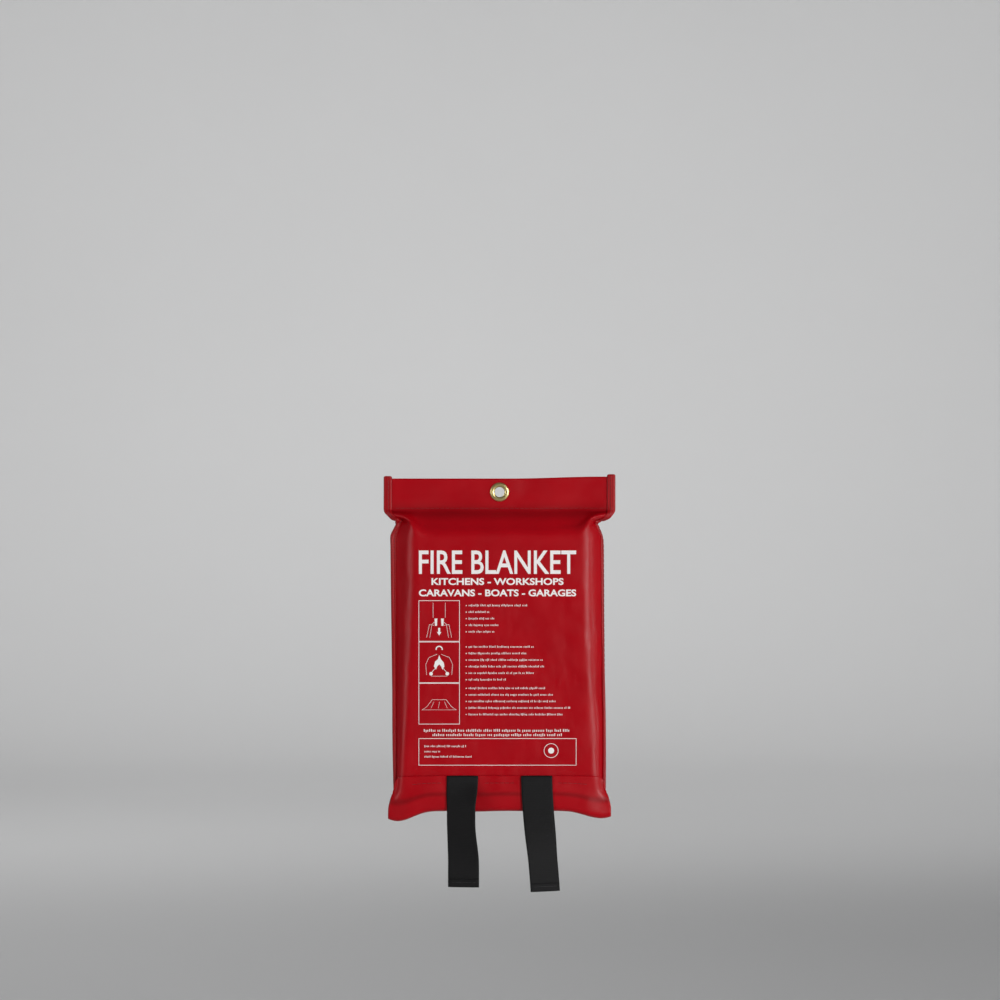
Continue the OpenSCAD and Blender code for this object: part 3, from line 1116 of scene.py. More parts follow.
class PouchSettings(bpy.types.PropertyGroup):
    fabric: colour("Fabric", "#AA0010", "Colour of the coated fabric")
    tape: colour("Edge tape", "#B2000E", "Colour of the woven tape round the edges")
    thread: colour("Thread", "#8E0812", "Colour of the pouch's sewing thread")
    pile: colour("Touch fastener", "#5A0610", "Colour of the hook and loop strips")
    fabric_thickness: length("Fabric thickness", 0.8 * MM, "Thickness of the coated fabric")
    tape_thickness: length("Tape thickness", 0.6 * MM, "Thickness of the edge tape")
    tape_reach: length("Tape reach", 5.8 * MM, "How far the tape lies in from the edge")
    tape_ends: length("Tape ends", 2 * MM, "How far the tape's top ends stand up")
    flange: length("Sewn margin", 6 * MM, "Width of the margin where the panels are sewn together")
    cloth_step: length("Cloth step", 3 * MM, "Spacing of the simulated cloth's points")
    take_up: length("Take-up", 4.2 * MM, "Cloth that the neck's slope takes up")
    fill_radius: length("Filling radius", 10 * MM, "How round the filled pouch's edges are")
    pinch_drop: length("Pinch drop", 26 * MM, "From the eyelet down to the pinch under the header")
    pinch_depth: length("Pinch depth", 4.5 * MM, "How far the margin is drawn in at the pinch")
    stitch_pitch: length("Stitch pitch", 4 * MM, "Distance from one stitch to the next")
    stitch_length: length("Stitch length", 2.7 * MM, "Length of thread that shows in a stitch")
    flap_corner: length("Flap corner", 8 * MM, "Radius of the flap's free corners")
    droop_left: length("Left droop", 9 * MM, "How far the flap's left end hangs below its crease")
    droop_right: length("Right droop", 6 * MM, "How far the flap's right end hangs")


class PrintSettings(bpy.types.PropertyGroup):
    ink: colour("Ink", "#F3EEEC", "Colour of the printing")
    title: bpy.props.StringProperty(
        name="Title", default="FIRE BLANKET", description="Plain words at the top of the print"
    )
    second_line: bpy.props.StringProperty(
        name="Second line", default="KITCHENS - WORKSHOPS", description="Plain words under the title"
    )
    third_line: bpy.props.StringProperty(
        name="Third line", default="CARAVANS - BOATS - GARAGES", description="Plain words below those"
    )
    left: length("Left margin", -64.5 * MM, "Left edge of the printing", -1)
    right: length("Right margin", 61.3 * MM, "Right edge of the printing")
    drop: length("Drop", 46.7 * MM, "From the eyelet's centre down to the top of the title")
    title_height: length("Title height", 18.8 * MM, "Height of the title's capitals")
    picture: length("Picture frame", 32.5 * MM, "Side of each picture's square frame")
    rule: length("Line width", 0.42 * MM, "Width of the printed lines")


class StrapSettings(bpy.types.PropertyGroup):
    webbing: colour("Webbing", "#09080A", "Colour of the pull straps")
    thread: colour("Thread", "#232226", "Colour of the straps' sewing thread")
    thickness: length("Thickness", 1.2 * MM, "Thickness of the webbing")
    left_turn: bpy.props.FloatProperty(
        name="Left turn", default=math.radians(24), subtype="ANGLE",
        description="How far the left strap turns about the vertical halfway down the flap",
    )
    right_lean: length("Right lean", 6.4 * MM, "How far the right strap's end hangs to the right")


class BlanketSettings(bpy.types.PropertyGroup):
    cloth: colour("Cloth", "#E6E2D6", "Colour of the glass-fibre cloth")
    side: length("Side", 1.2, "Side of the square blanket when it is spread out")
    layer: length("Layer", 0.38 * MM, "Thickness of the cloth")


class MetalSettings(bpy.types.PropertyGroup):
    brass: colour("Brass", "#DECB8C", "Colour of the eyelet's brass")


class StageSettings(bpy.types.PropertyGroup):
    paper: colour("Paper", "#DADADA", "Colour of the floor and the sweep behind")
    floor_drop: length("Floor", 0.56, "How far the floor lies below the eyelet")
    room: length("Room", 5.0, "Radius of the paper sweep")
    view_distance: length("View distance", 2.4, "From the camera to the pouch's front")
    view_width: length("View width", 0.8, "Width of what the camera sees at the pouch's front")


# ---------------------------------------------------------------- operators


class FIREBLANKET_OT_stage(bpy.types.Operator):
    """Make the floor and paper sweep, the studio lights and the camera"""

    bl_idname = "fire_blanket.stage"
    bl_label = "Stage"

    def execute(self, context):
        s = context.scene.fire_blanket_stage
        scene = context.scene
        scene.view_settings.view_transform = "Standard"
        rings = []
        bend = 1.2
        for t in np.linspace(0.02, 1, 6):
            rings.append((t * (s.room - bend), 0.0))
        for a in np.linspace(0, 90, 10)[1:]:
            rings.append(
                (
                    s.room - bend + bend * math.sin(math.radians(a)),
                    bend - bend * math.cos(math.radians(a)),
                )
            )
        rings.append((s.room, 3.6))
        around = 64
        points, faces = [], []
        for r, h in rings:
            for k in range(around):
                a = 2 * math.pi * k / around
                points.append((r * math.cos(a), r * math.sin(a), h - s.floor_drop))
        for i in range(len(rings) - 1):
            for k in range(around):
                n = (k + 1) % around
                p, q = i * around, (i + 1) * around
                faces.append([p + k, p + n, q + n, q + k])
        faces.append(list(range(around))[::-1])
        paper = new_object("paper_sweep", points, faces)
        paper.data.materials.append(studio_paper(tuple(s.paper)))

        middle = (0, 0, (CAD_BOUNDS[0].z + CAD_BOUNDS[1].z) / 2)
        self.light("key_softbox", (2.4, -3.2, 0.15), (1.7, 2.0), 37, middle)
        self.light("side_strip", (1.15, -0.32, -0.05), (0.16, 0.9), 0.9, middle)
        self.light("left_fill", (-3.2, -2.5, 0.0), (1.8, 1.8), 15, middle)
        self.light("rear_fill", (-2.0, 3.0, 1.6), (1.6, 1.6), 15, middle)
        self.light("backdrop_left", (-1.6, 1.4, 2.2), (1.2, 1.2), 15, (-0.4, 5, 0.0))
        self.light("backdrop_right", (1.6, 1.4, 2.2), (1.2, 1.2), 15, (0.4, 5, 0.0))

        world = bpy.data.worlds.new("studio_air")
        scene.world = world
        world.use_nodes = True
        air = world.node_tree.nodes["Background"]
        air.inputs["Color"].default_value = (0.9, 0.92, 0.95, 1)
        air.inputs["Strength"].default_value = 0.14

        data = bpy.data.cameras.new("camera")
        data.sensor_width = 36
        data.lens = data.sensor_width * s.view_distance / s.view_width
        data.clip_end = 30
        data.dof.use_dof = False
        camera = bpy.data.objects.new("camera", data)
        scene.collection.objects.link(camera)
        # level and square on, with the eyelet a little above the middle of the view
        camera.location = (0.4 * MM, FRONT_LO.y - s.view_distance, -6.4 * MM)
        camera.rotation_euler = (math.pi / 2, 0, 0)
        scene.camera = camera
        return {"FINISHED"}

    def light(self, name, place, size, power, target):
        data = bpy.data.lights.new(name, "AREA")
        data.shape = "RECTANGLE"
        data.size, data.size_y = size
        data.energy = power
        data.spread = math.radians(100)
        lamp = bpy.data.objects.new(name, data)
        bpy.context.scene.collection.objects.link(lamp)
        lamp.location = place
        lamp.visible_camera = False
        aim = Vector(target) - Vector(place)
        lamp.rotation_euler = aim.to_track_quat("-Z", "Y").to_euler()


class FIREBLANKET_OT_pouch(bpy.types.Operator):
    """Simulate the pouch's two panels round the folded pack and make their cloth"""

    bl_idname = "fire_blanket.pouch"
    bl_label = "Pouch panels"

    def execute(self, context):
        s = context.scene.fire_blanket_pouch
        front, back = simulate_pouch(s)
        SURFACES["front"], SURFACES["back"] = front, back
        # painted shade in the fabric's colour along the crease under the header's seam, 11 mm either side
        fabric = coated_fabric(
            "pvc_coated_polyester_calendered", tuple(s.fabric), SEAM_LO.z - 4 * MM, 11 * MM
        )
        for name, surface, low in (("front", front, FRONT_LO), ("back", back, BACK_LO)):
            piece = cloth_shell(f"pouch_{name}", surface, s.fabric_thickness, clear_of_eyelet)
            finish_piece(piece, fabric, [f"{name}_panel"])
            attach(piece, "pouch")
        return {"FINISHED"}


class FIREBLANKET_OT_edges(bpy.types.Operator):
    """Fold the woven tape round the side edges and sew it on, and sew the header's seam"""

    bl_idname = "fire_blanket.edges"
    bl_label = "Edge tape and seams"

    def execute(self, context):
        s = context.scene.fire_blanket_pouch
        front, back = SURFACES["front"], SURFACES["back"]
        tape = ribbed_tape(
            "polyester_edge_tape_woven", tuple(s.tape), 0.42, 0.9 * MM, 0.7 * MM, 0.08 * MM
        )
        thread = sewing_thread("polyester_thread_red_twisted", tuple(s.thread))
        SURFACES["thread"] = thread
        for side, word in ((-1, "left"), (1, "right")):
            piece = self.tape(f"edge_tape_{word}", side, s)
            finish_piece(piece, tape, [f"side_tape_{word}"])
            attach(piece, "pouch")
            ends = []
            vs = front.vs[::2]
            u = side * (FRONT_HI.x - s.tape_reach / 2)
            for surface in (front, back):
                lift = s.fabric_thickness / 2 + s.tape_thickness + 0.05 * MM
                ends += stitch_ends(surface.at(u, vs, lift), s.stitch_pitch, s.stitch_length)
            sewn = capsules(f"tape_stitching_{word}", ends, 0.22 * MM)
            finish_piece(sewn, thread, [f"tape_stitches_{word}"])
            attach(sewn, "pouch")
        ends = []
        seam_v = (SEAM_LO.z + SEAM_HI.z) / 2
        us = np.linspace(SEAM_LO.x, SEAM_HI.x, 120)
        for surface in (front, back):
            line = surface.at(us, seam_v, s.fabric_thickness / 2 + 0.02 * MM)
            ends += stitch_ends(line, s.stitch_pitch, s.stitch_length)
        seam = capsules("header_stitching", ends, 0.2 * MM)
        finish_piece(seam, thread, ["header_seam_stitches"])
        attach(seam, "pouch")
        return {"FINISHED"}

    def tape(self, name, side, s):
        """The tape's section follows both panels' outsides and turns round the edge."""
        front, back = SURFACES["front"], SURFACES["back"]
        half = FRONT_HI.x
        inner = s.fabric_thickness / 2 + 0.03 * MM
        outer = inner + s.tape_thickness
        across = side * (half - np.linspace(s.tape_reach, 0, 5))
        rings, flat = [], []
        vs = front.vs
        around_flat = None
        for v in vs:
            f_out, f_in = front.at(across, v, outer), front.at(across, v, inner)
            b_out, b_in = back.at(across, v, outer), back.at(across, v, inner)
            edge = (front.at(across[-1], v) + back.at(across[-1], v)) / 2
            inside = (front.at(across[-2], v) + back.at(across[-2], v)) / 2
            out = edge - inside
            out /= np.linalg.norm(out)
            depth = (f_out[-1] - b_out[-1]) / 2
            turn = []
            for a in (150, 120, 90, 60, 30):
                t = math.radians(a)
                turn.append(edge - depth * math.cos(t) + out * math.sin(t) * s.tape_thickness * 1.6)
            bend_in = edge + out * 0.15 * MM
            ring = list(f_out) + turn + list(b_out[::-1]) + list(b_in) + [bend_in] + list(f_in[::-1])
            rings.append(ring)
            around = np.linspace(0, 2 * s.tape_reach, len(ring))
            flat += [(a, v) for a in around]
        rings = np.array(rings)
        lifted = []
        up = (rings[0] - rings[1]).mean(0)
        up /= np.linalg.norm(up)
        centre = rings[0].mean(0)
        # the top end is heat-sealed into a rounded stub
        for rise, size in ((1.0, 0.45), (0.9, 0.8), (0.6, 0.97), (0.3, 1.0)):
            lifted.append(centre + (rings[0] - centre) * size + up * s.tape_ends * rise)
            flat = [(a, vs[0] + s.tape_ends * rise) for a in around] + flat
        rings = np.concatenate([lifted, rings])
        return swept(name, rings, flat=flat)


class FIREBLANKET_OT_eyelet(bpy.types.Operator):
    """Turn the brass eyelet and its washer"""

    bl_idname = "fire_blanket.eyelet"
    bl_label = "Eyelet"

    def execute(self, context):
        brass = pressed_brass(tuple(context.scene.fire_blanket_metal.brass))
        fabric_face = 0.9 * MM
        flange = EYELET_HI.x
        bore = 4.0 * MM
        lip = -EYELET_LO.y - 0.8 * MM
        # (radius, distance forward) round the pressed section, front flange first
        section = []
        middle, reach = (flange + bore) / 2, (flange - bore) / 2
        for a in np.linspace(0, 180, 17):
            t = math.radians(a)
            section.append(
                (middle + reach * math.cos(t), fabric_face + lip * math.sin(t) ** 0.8 * 0.92)
            )
        rear = EYELET_HI.y
        section += [(bore, z) for z in np.linspace(fabric_face, -rear + 0.5 * MM, 6)[1:]]
        for a in np.linspace(180, 360, 9):
            t = math.radians(a)
            section.append(
                (bore + 0.75 * MM + 0.75 * MM * math.cos(t), -rear + 0.5 * MM + 0.5 * MM * math.sin(t))
            )
        section += [(bore + 0.55 * MM, z) for z in np.linspace(-rear + 0.7 * MM, fabric_face - 0.1 * MM, 4)]
        section += [(flange - 0.5 * MM, fabric_face - 0.1 * MM)]
        eyelet = self.turned("eyelet_brass", section)
        finish_piece(eyelet, brass, ["eyelet"])
        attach(eyelet, "pouch")

        face, back = -0.9 * MM, -1.5 * MM
        washer = [
            (bore + 0.62 * MM, face),
            (flange - 0.3 * MM, face),
            (flange, face - 0.2 * MM),
            (flange - 0.3 * MM, back + 0.1 * MM),
            (middle, back),
            (bore + 0.62 * MM, back + 0.1 * MM),
        ]
        ring = self.turned("eyelet_ring", washer)
        finish_piece(ring, brass, ["eyelet_washer"])
        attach(ring, "pouch")
        return {"FINISHED"}

    def turned(self, name, section):
        """A closed section turned about the eyelet's axis; distances forward go along -Y."""
        steps = 96
        points, faces = [], []
        count = len(section)
        for k in range(steps):
            a = 2 * math.pi * k / steps
            points += [(r * math.cos(a), -d, r * math.sin(a)) for r, d in section]
        for k in range(steps):
            n = (k + 1) % steps
            for m in range(count):
                o = (m + 1) % count
                faces.append([k * count + m, n * count + m, n * count + o, k * count + o])
        piece = new_object(name, points, faces)
        outward_faces(piece)
        return piece


class FIREBLANKET_OT_flap(bpy.types.Operator):
    """Make the closing flap with its hook strips and stitching, and the loop strips"""

    bl_idname = "fire_blanket.flap"
    bl_label = "Flap"

    def execute(self, context):
        s = context.scene.fire_blanket_pouch
        surface = flap_surface(s)
        SURFACES["flap"] = surface
        rows = len(surface.vs)
        column = surface.points[:, len(surface.us) // 2]
        split = int(np.argmin(abs(column[:, 1])))
        bottom = cloth_shell("flap_bottom", surface, s.fabric_thickness, rows=slice(0, split + 1))
        front = cloth_shell("flap_front", surface, s.fabric_thickness, rows=slice(split, rows))
        run = -surface.vs
        # painted shade in the fabric's colour along the fold near the flap's front crease, 3 mm either side
        fold_row = int(np.argmin(column[:, 1])) - 3
        fabric = coated_fabric(
            "pvc_coated_polyester_fold_shade_painted", tuple(s.fabric), float(surface.vs[fold_row]), 3 * MM
        )
        for piece, node, flat_length in (
            (bottom, "bottom_gusset", run[split]),
            (front, "closure_flap", run[-1] - run[split]),
        ):
            finish_piece(piece, fabric, [node])
        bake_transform(bottom)
        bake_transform(front)

        pile = hook_and_loop(tuple(s.pile))
        hooks, loops, ends = [], [], []
        front_panel = SURFACES["front"]
        top_run = run[-1]
        hook_top = FLAP_HI.z - HOOK_HI.z
        hook_low = FLAP_HI.z - HOOK_LO.z
        seam = FLAP_HI.z - (STITCH_LO.z + STITCH_HI.z) / 2
        for left, right in self.stretches():
            loops.append(
                slab_on("loop", front_panel, (left, right),
                        (front_panel.v_at(HOOK_HI.z), front_panel.v_at(HOOK_LO.z)),
                        s.fabric_thickness / 2 + 0.02 * MM, 0.5 * MM)
            )
            hooks.append(
                slab_on("hook", surface, (left, right),
                        (-(top_run - hook_low), -(top_run - hook_top)),
                        -s.fabric_thickness / 2 - 0.42 * MM, 0.4 * MM)
            )
            us = np.linspace(left, right, 40)
            line = surface.at(us, -(top_run - seam), s.fabric_thickness / 2 + 0.03 * MM)
            ends += stitch_ends(line, s.stitch_pitch, s.stitch_length)
        hook = joined("hook_strip_set", hooks)
        finish_piece(hook, pile, ["hook_strips"])
        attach(hook, "flap_front")
        loop = joined("loop_strip_set", loops)
        finish_piece(loop, pile, ["loop_strips"])
        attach(loop, "pouch")
        sewn = capsules("flap_stitching", ends, 0.22 * MM)
        finish_piece(sewn, SURFACES["thread"], ["flap_stitches"])
        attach(sewn, "flap_front")
        return {"FINISHED"}

    def stretches(self):
        """The three stretches beside and between the straps, from the frame's strips."""
        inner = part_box("strap_root_right")[0].x - 4 * MM
        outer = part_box("strap_root_right")[1].x + 4 * MM
        return [(HOOK_LO.x, -outer), (-inner, inner), (outer, HOOK_HI.x)]


class FIREBLANKET_OT_straps(bpy.types.Operator):
    """Make the two webbing pull straps and their sewn ends"""

    bl_idname = "fire_blanket.straps"
    bl_label = "Pull straps"

    def execute(self, context):
        s = context.scene.fire_blanket_straps
        cloth = ribbed_tape(
            "polyester_webbing_woven", tuple(s.webbing), 0.7, 1.3 * MM, 1.0 * MM, 0.16 * MM
        )
        thread = sewing_thread("polyester_thread_black_twisted", tuple(s.thread))
        for side, word in ((-1, "left"), (1, "right")):
            root_lo, root_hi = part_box(f"strap_root_{word}")
            tail_lo, tail_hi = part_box(f"strap_tail_{word}")
            centre = (root_lo.x + root_hi.x) / 2
            width = root_hi.x - root_lo.x
            shape = self.left_shape(s, tail_hi.z, tail_lo.z) if side < 0 else self.right_shape(
                s, tail_hi.z, tail_lo.z
            )

            def still(z):
                return 0.0, 0.0, 0.0

            root = root_line(root_lo, root_hi, tail_hi, s.thickness)
            piece = webbing(f"pull_strap_{word}_root", root, centre, width, s.thickness, still)
            finish_piece(piece, cloth, [f"strap_root_{word}"])
            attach(piece, "blanket")

            tail = tail_line(tail_hi, tail_lo, s.thickness)
            piece = webbing(f"pull_strap_{word}", tail, centre, width, s.thickness, shape)
            finish_piece(piece, cloth, [f"strap_tail_{word}"])
            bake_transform(piece)

            self.hem(word, centre, width, tail_lo, shape, s, thread)
            self.anchor(word, centre, root_hi, thread)
        return {"FINISHED"}

    def left_shape(self, s, top, low):
        """The left strap turns part way round as it hangs, and back again towards its end."""

        def shape(z):
            t = (top - z) / (top - low)
            turn = s.left_turn * smoothstep(t, 0.02, 0.3) * (1 - 0.72 * smoothstep(t, 0.45, 0.85))
            shift = -1.0 * MM * smoothstep(t, 0.02, 0.3) + 1.9 * MM * smoothstep(t, 0.4, 0.8)
            forward = -abs(math.sin(turn)) * 11.5 * MM - 1.2 * MM * math.sin(math.pi * min(1, t))
            return float(shift), float(-turn), float(forward * smoothstep(t, 0.0, 0.12))

        return shape

    def right_shape(self, s, top, low):
        """The right strap leans outwards and turns a little."""

        def shape(z):
            t = (top - z) / (top - low)
            turn = math.radians(20) * smoothstep(t, 0.35, 0.75)
            shift = s.right_lean * smoothstep(t, -0.05, 1.25) * 1.2
            forward = -abs(math.sin(turn)) * 11.5 * MM - 0.8 * MM * math.sin(math.pi * min(1, t))
            return float(shift), float(turn), float(forward * smoothstep(t, 0.0, 0.12))

        return shape

    def hem(self, word, centre, width, tail_lo, shape, s, thread):
        """A row of stitches across the folded-back end."""
        z = tail_lo.z + 4.2 * MM
        shift, turn, forward = shape(z)
        reach = width / 2 - 2 * MM
        y = HINGE_Y - s.thickness * 1.62
        line = [
            (centre + shift + a * math.cos(turn), y + a * math.sin(turn) + forward, z)
            for a in np.linspace(-reach, reach, 12)
        ]
        ends = stitch_ends(line, 2.8 * MM, 1.9 * MM)
        sewn = capsules(f"hem_stitching_{word}", ends, 0.2 * MM)
        finish_piece(sewn, thread, [f"strap_hem_stitches_{word}"])
        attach(sewn, f"strap_{word}")

    def anchor(self, word, centre, root_hi, thread):
        """A sewn square with a cross in it where the strap joins the pack."""
        y = root_hi.y - 1.25 * MM
        low = FRONT_LO.z + 3 * MM
        side = 19 * MM
        corners = [(-1, 0), (1, 0), (1, 2), (-1, 2), (-1, 0)]
        square = [(centre + a * side / 2, y, low + b * side / 2) for a, b in corners]
        paths = [square[k : k + 2] for k in range(4)] + [
            [square[0], square[2]],
            [square[1], square[3]],
        ]
        ends = []
        for path in paths:
            ends += stitch_ends(path, 3.0 * MM, 2.0 * MM)
        sewn = capsules(f"anchor_stitching_{word}", ends, 0.2 * MM)
        finish_piece(sewn, thread, [f"anchor_stitches_{word}"])
        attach(sewn, "blanket")


class FIREBLANKET_OT_blanket(bpy.types.Operator):
    """Fold the square glass-fibre blanket both ways into its pack"""

    bl_idname = "fire_blanket.blanket"
    bl_label = "Folded blanket"

    def execute(self, context):
        s = context.scene.fire_blanket_cloth
        size = PACK_HI - PACK_LO
        folds_x = int(round(s.side / size.x))
        folds_z = int(round(s.side / size.z))
        pitch_z = size.y / folds_z
        pitch_x = pitch_z / folds_x
        first_x, first_d, us = self.zigzag(s.side, folds_x, pitch_x * 0.92, 0.9 * MM, 3)
        second_z, second_d, vs = self.zigzag(s.side, folds_z, pitch_z * 0.97, 1.6 * MM, 5)
        # direction across the second fold's line, to stack the first fold's layers on it
        dz, dd = np.gradient(second_z), np.gradient(second_d)
        norm = np.hypot(dz, dd)
        nz, nd = -dd / norm, dz / norm
        centre_d = (first_d.min() + first_d.max()) / 2
        offset = first_d - centre_d
        x = np.broadcast_to(first_x[None, :], (len(vs), len(us))).copy()
        z = second_z[:, None] + nz[:, None] * offset[None, :]
        d = second_d[:, None] + nd[:, None] * offset[None, :]
        x = x - (x.min() + x.max()) / 2
        z = z - (z.min() + z.max()) / 2
        d = (d - (d.min() + d.max()) / 2)
        x *= (size.x - 1 * MM) / np.ptp(x)
        z *= (size.z - 1 * MM) / np.ptp(z)
        d *= (size.y - 1 * MM) / np.ptp(d)
        d *= self.rounding(x, size.x / 2, size.y / 2, 10 * MM)
        d *= self.rounding(z, size.z / 2, size.y / 2, 8 * MM)
        # the lower corners are tucked in behind the flap's open ends
        x *= 1 - 0.08 * smoothstep(-z, size.z / 2 - 34 * MM, size.z / 2 - 8 * MM)
        middle = (PACK_LO + PACK_HI) / 2
        points = np.stack([x + middle.x, d + middle.y, z + middle.z], 2)
        count_v, count_u = len(vs), len(us)
        index = np.arange(count_v * count_u).reshape(count_v, count_u)
        faces = [
            (index[i, j], index[i + 1, j], index[i + 1, j + 1], index[i, j + 1])
            for i in range(count_v - 1)
            for j in range(count_u - 1)
        ]
        uu, vv = np.meshgrid(us, vs)
        flat = np.stack([uu.ravel(), vv.ravel()], 1)
        piece = new_object("folded_cloth", points.reshape(-1, 3), faces, flat)
        thick = piece.modifiers.new("cloth_thickness", "SOLIDIFY")
        thick.thickness = s.layer * 0.6
        thick.offset = 0
        finish_piece(piece, glass_cloth(tuple(s.cloth)), ["folded_blanket"])
        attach(piece, "blanket")
        return {"FINISHED"}

    def zigzag(self, side, folds, pitch, uneven, seed):
        """Line of a cloth folded back and forth: its run along the fold, its depth, and how far
        along the flat cloth each point lies. The folds end a little unevenly, as by hand."""
        rng = np.random.default_rng(seed)
        panel = side / folds
        shares = np.concatenate([np.linspace(0, 0.06, 5), np.linspace(0.1, 0.9, 7), np.linspace(0.94, 1, 5)])
        run, depth, place = [], [], []
        start, end = 0.0, panel
        for k in range(folds):
            target = (panel if k % 2 == 0 else 0.0) + rng.uniform(-uneven, uneven)
            for t in shares[:-1] if k < folds - 1 else shares:
                run.append(start + (target - start) * t)
                # the cloth leaves one layer's depth and reaches the next round a soft bend
                bend = 0.5 - 0.5 * math.cos(math.pi * max(0.0, 1 - t / 0.06)) if t < 0.06 else 0.0
                rise = 0.5 - 0.5 * math.cos(math.pi * max(0.0, (t - 0.94) / 0.06)) if t > 0.94 else 0.0
                depth.append(pitch * (k + 0.5 * rise - 0.5 * bend))
                place.append((k + t) * panel)
            start = target
        return np.array(run), np.array(depth), np.array(place)

    def rounding(self, along, half, depth, radius):
        """How much of the pack's depth is left towards its edges, which fold round softly."""
        past = np.clip(abs(along) - (half - radius), 0, radius)
        return (depth - radius * 0.75 + 0.75 * np.sqrt(radius**2 - past**2)) / depth


class FIREBLANKET_OT_printing(bpy.types.Operator):
    """Screen the white printing on the front: title, pictures and lines that stand for text"""

    bl_idname = "fire_blanket.printing"
    bl_label = "Printing"

    def execute(self, context):
        s = context.scene.fire_blanket_print
        front = SURFACES["front"]
        ink = screen_ink(tuple(s.ink))
        sheet = PrintSheet()
        top = -s.drop
        low = top - s.title_height
        sheet.words(s.title, s.left, s.right, low, top, 0.012)
        title = sheet.lay("printed_title", front, 0.5 * MM, 0.08 * MM)
        finish_piece(title, ink)
        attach(title, "pouch")

        sheet = PrintSheet()
        middle = (s.left + s.right) / 2
        span = s.right - s.left
        # two short bold lines under the title
        for text, share, base in ((s.second_line, 0.84, 8.9 * MM), (s.third_line, 1, 18 * MM)):
            sheet.words(text, middle - span * share / 2, middle + span * share / 2, low - base,
                        low - base + 5.6 * MM, 0.03)
        first = low - 21.4 * MM
        side = s.picture
        pictures = (self.pull_picture, self.shield_picture, self.cover_picture)
        lines = ((0.56, 0.22, 0.27, 0.3, 0.27), (0.62, 0.56, 0.7, 0.72, 0.62, 0.38),
                 (0.72, 0.8, 0.83, 0.95, 0.88))
        for k, (draw, shares) in enumerate(zip(pictures, lines)):
            high = first - k * (side + 0.6 * MM)
            sheet.frame(s.left, s.left + side, high - side, high, s.rule)
            draw(sheet, s.left + side / 2, high - side / 2, side / 2, s.rule)
            text_left = s.left + side + 5 * MM
            room = s.right - text_left
            for m, share in enumerate(shares):
                z = high - (3.9 + 5.25 * m) * MM
                sheet.bar(text_left, text_left + 0.8 * MM, z - 0.4 * MM, z + 0.4 * MM)
                self.blocks(sheet, text_left + 2.4 * MM, text_left + room * share, z - 0.6 * MM,
                            1.15 * MM, 10 * k + m + 20)
        under = first - 3 * (side + 0.6 * MM)
        self.blocks(sheet, s.left + 4 * MM, s.right - 4 * MM, under - 5.5 * MM, 1.5 * MM, 3)
        self.blocks(sheet, s.left + 11 * MM, s.right - 11 * MM, under - 9 * MM, 1.5 * MM, 4)
        box_top = under - 11 * MM
        box_low = box_top - 21.3 * MM
        sheet.frame(s.left, s.right, box_low, box_top, s.rule)
        for m, share in enumerate((0.3, 0.14, 0.34)):
            z = box_top - (6.8 + 4.2 * m) * MM
            self.blocks(sheet, s.left + 4.5 * MM, s.left + span * share, z, 1.1 * MM, m + 60)
        # a plain disc in a ring at the right of the box
        mark = (s.right - 20 * MM, (box_low + box_top) / 2 + 1 * MM)
        sheet.line(circle_points(mark, 5.6 * MM, 0, 360, 41)[:-1], s.rule, True)
        sheet.area(circle_points(mark, 2.4 * MM, 0, 360, 25)[:-1])
        piece = sheet.lay("printed_lines", front, 0.5 * MM, 0.08 * MM)
        finish_piece(piece, ink)
        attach(piece, "pouch")
        return {"FINISHED"}

    def blocks(self, sheet, left, right, low, height, seed):
        """A row of letter-sized blocks in word-long groups, which stands for a line of text."""
        rng = np.random.default_rng(seed)
        pitch = height * 0.95
        x, letters = left, int(rng.integers(3, 9))
        while x + pitch * 0.6 < right:
            rise = height * (0.4 if rng.random() < 0.3 else 0.0)
            fall = height * (0.3 if rng.random() < 0.12 else 0.0)
            sheet.bar(x, x + pitch * 0.45, low - fall, low + height + rise)
            x += pitch
            letters -= 1
            if not letters:
                x += pitch * 0.7
                letters = int(rng.integers(2, 10))

    def pull_picture(self, sheet, x, z, r, rule):
        """Two tabs under a pouch, a hand at each and an arrow down."""
        for side in (-1, 1):
            sheet.line([(x + side * 0.3 * r, z + 0.9 * r), (x + side * 0.3 * r, z + 0.16 * r)],
                       rule * 0.6)
            c = x + side * 0.16 * r
            sheet.area([(c - 0.07 * r, z + 0.12 * r), (c - 0.05 * r, z - 0.24 * r),
                        (c + 0.05 * r, z - 0.24 * r), (c + 0.07 * r, z + 0.12 * r)])
            for reach in (0.46, 0.62):
                arm = [(c + side * 0.08 * r, z - (reach - 0.4) * r)]
                arm += [(x + side * reach * (0.75 + 0.25 * t) * r, z - (0.1 + 0.72 * t) * r)
                        for t in (0.1, 0.4, 0.7, 1.0)]
                sheet.line(arm, rule * 0.6)
        sheet.area([(x - 0.05 * r, z - 0.34 * r), (x - 0.05 * r, z - 0.54 * r),
                    (x + 0.05 * r, z - 0.54 * r), (x + 0.05 * r, z - 0.34 * r)])
        sheet.area([(x - 0.11 * r, z - 0.54 * r), (x, z - 0.72 * r), (x + 0.11 * r, z - 0.54 * r)])

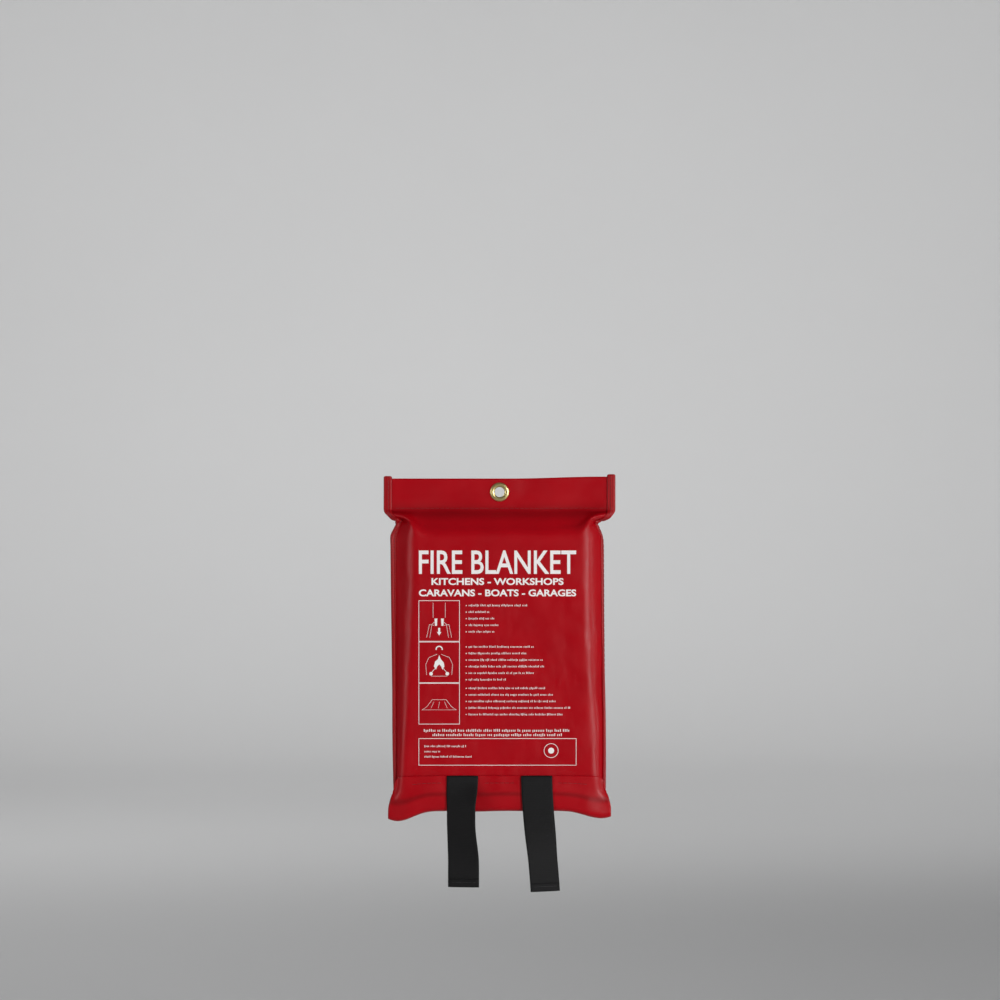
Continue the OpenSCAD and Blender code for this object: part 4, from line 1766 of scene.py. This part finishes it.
    def shield_picture(self, sheet, x, z, r, rule):
        """A plain figure behind a blanket that it holds up against a flame."""
        sheet.line(circle_points((x, z + 0.64 * r), 0.15 * r, -10, 190, 17), rule * 2.2)
        for side in (-1, 1):
            sheet.line([(x + side * 0.1 * r, z + 0.4 * r), (x + side * 0.5 * r, z + 0.24 * r),
                        (x + side * 0.66 * r, z - 0.1 * r), (x + side * 0.62 * r, z - 0.62 * r)],
                       rule * 0.6)
            sheet.area(circle_points((x + side * 0.4 * r, z - 0.56 * r), 0.09 * r, 0, 330, 11))
            sheet.line([(x + side * 0.38 * r, z - 0.5 * r), (x + side * 0.2 * r, z - 0.3 * r)], rule)
        flame = [(0, 0.36), (0.08, 0.16), (0.22, 0.0), (0.26, -0.2), (0.16, -0.36), (0.1, -0.2),
                 (0, -0.1), (-0.1, -0.2), (-0.16, -0.36), (-0.26, -0.2), (-0.2, 0.04), (-0.06, 0.16)]
        sheet.area([(x + a * r, z + b * r) for a, b in flame])
        sheet.line([(x - 0.4 * r, z - 0.68 * r), (x + 0.4 * r, z - 0.68 * r)], rule * 0.6)

    def cover_picture(self, sheet, x, z, r, rule):
        """A blanket laid over a pan."""
        sheet.line([(x - 0.84 * r, z - 0.3 * r), (x - 0.6 * r, z - 0.14 * r),
                    (x - 0.34 * r, z + 0.2 * r), (x + 0.34 * r, z + 0.2 * r),
                    (x + 0.6 * r, z - 0.14 * r), (x + 0.84 * r, z - 0.3 * r)], rule * 0.6, True)
        for a, b in ((-0.26, -0.4), (0.26, 0.4), (0.02, -0.04)):
            sheet.line([(x + a * r, z + 0.1 * r), (x + b * r, z - 0.22 * r)], rule * 0.5)


PIECES = (
    FIREBLANKET_OT_stage,
    FIREBLANKET_OT_pouch,
    FIREBLANKET_OT_edges,
    FIREBLANKET_OT_eyelet,
    FIREBLANKET_OT_flap,
    FIREBLANKET_OT_straps,
    FIREBLANKET_OT_blanket,
    FIREBLANKET_OT_printing,
)


class FIREBLANKET_PT_sidebar(bpy.types.Panel):
    """Lists the pieces and the stage"""

    bl_idname = "FIREBLANKET_PT_sidebar"
    bl_label = "Fire Blanket"
    bl_space_type = "VIEW_3D"
    bl_region_type = "UI"
    bl_category = "Fire Blanket"

    def draw(self, context):
        for piece in PIECES:
            self.layout.operator(piece.bl_idname)


SETTINGS = {
    "fire_blanket_pouch": PouchSettings,
    "fire_blanket_print": PrintSettings,
    "fire_blanket_straps": StrapSettings,
    "fire_blanket_cloth": BlanketSettings,
    "fire_blanket_metal": MetalSettings,
    "fire_blanket_stage": StageSettings,
}


def register():
    for name, group in SETTINGS.items():
        bpy.utils.register_class(group)
        setattr(bpy.types.Scene, name, bpy.props.PointerProperty(type=group))
    for made in PIECES + (FIREBLANKET_PT_sidebar,):
        bpy.utils.register_class(made)


def unregister():
    for made in reversed(PIECES + (FIREBLANKET_PT_sidebar,)):
        bpy.utils.unregister_class(made)
    for name, group in SETTINGS.items():
        delattr(bpy.types.Scene, name)
        bpy.utils.unregister_class(group)


def main():
    register()
    bpy.ops.fire_blanket.stage()
    bpy.ops.fire_blanket.pouch()
    bpy.ops.fire_blanket.edges()
    bpy.ops.fire_blanket.eyelet()
    bpy.ops.fire_blanket.flap()
    bpy.ops.fire_blanket.straps()
    bpy.ops.fire_blanket.blanket()
    bpy.ops.fire_blanket.printing()


if __name__ == "__main__":
    main()
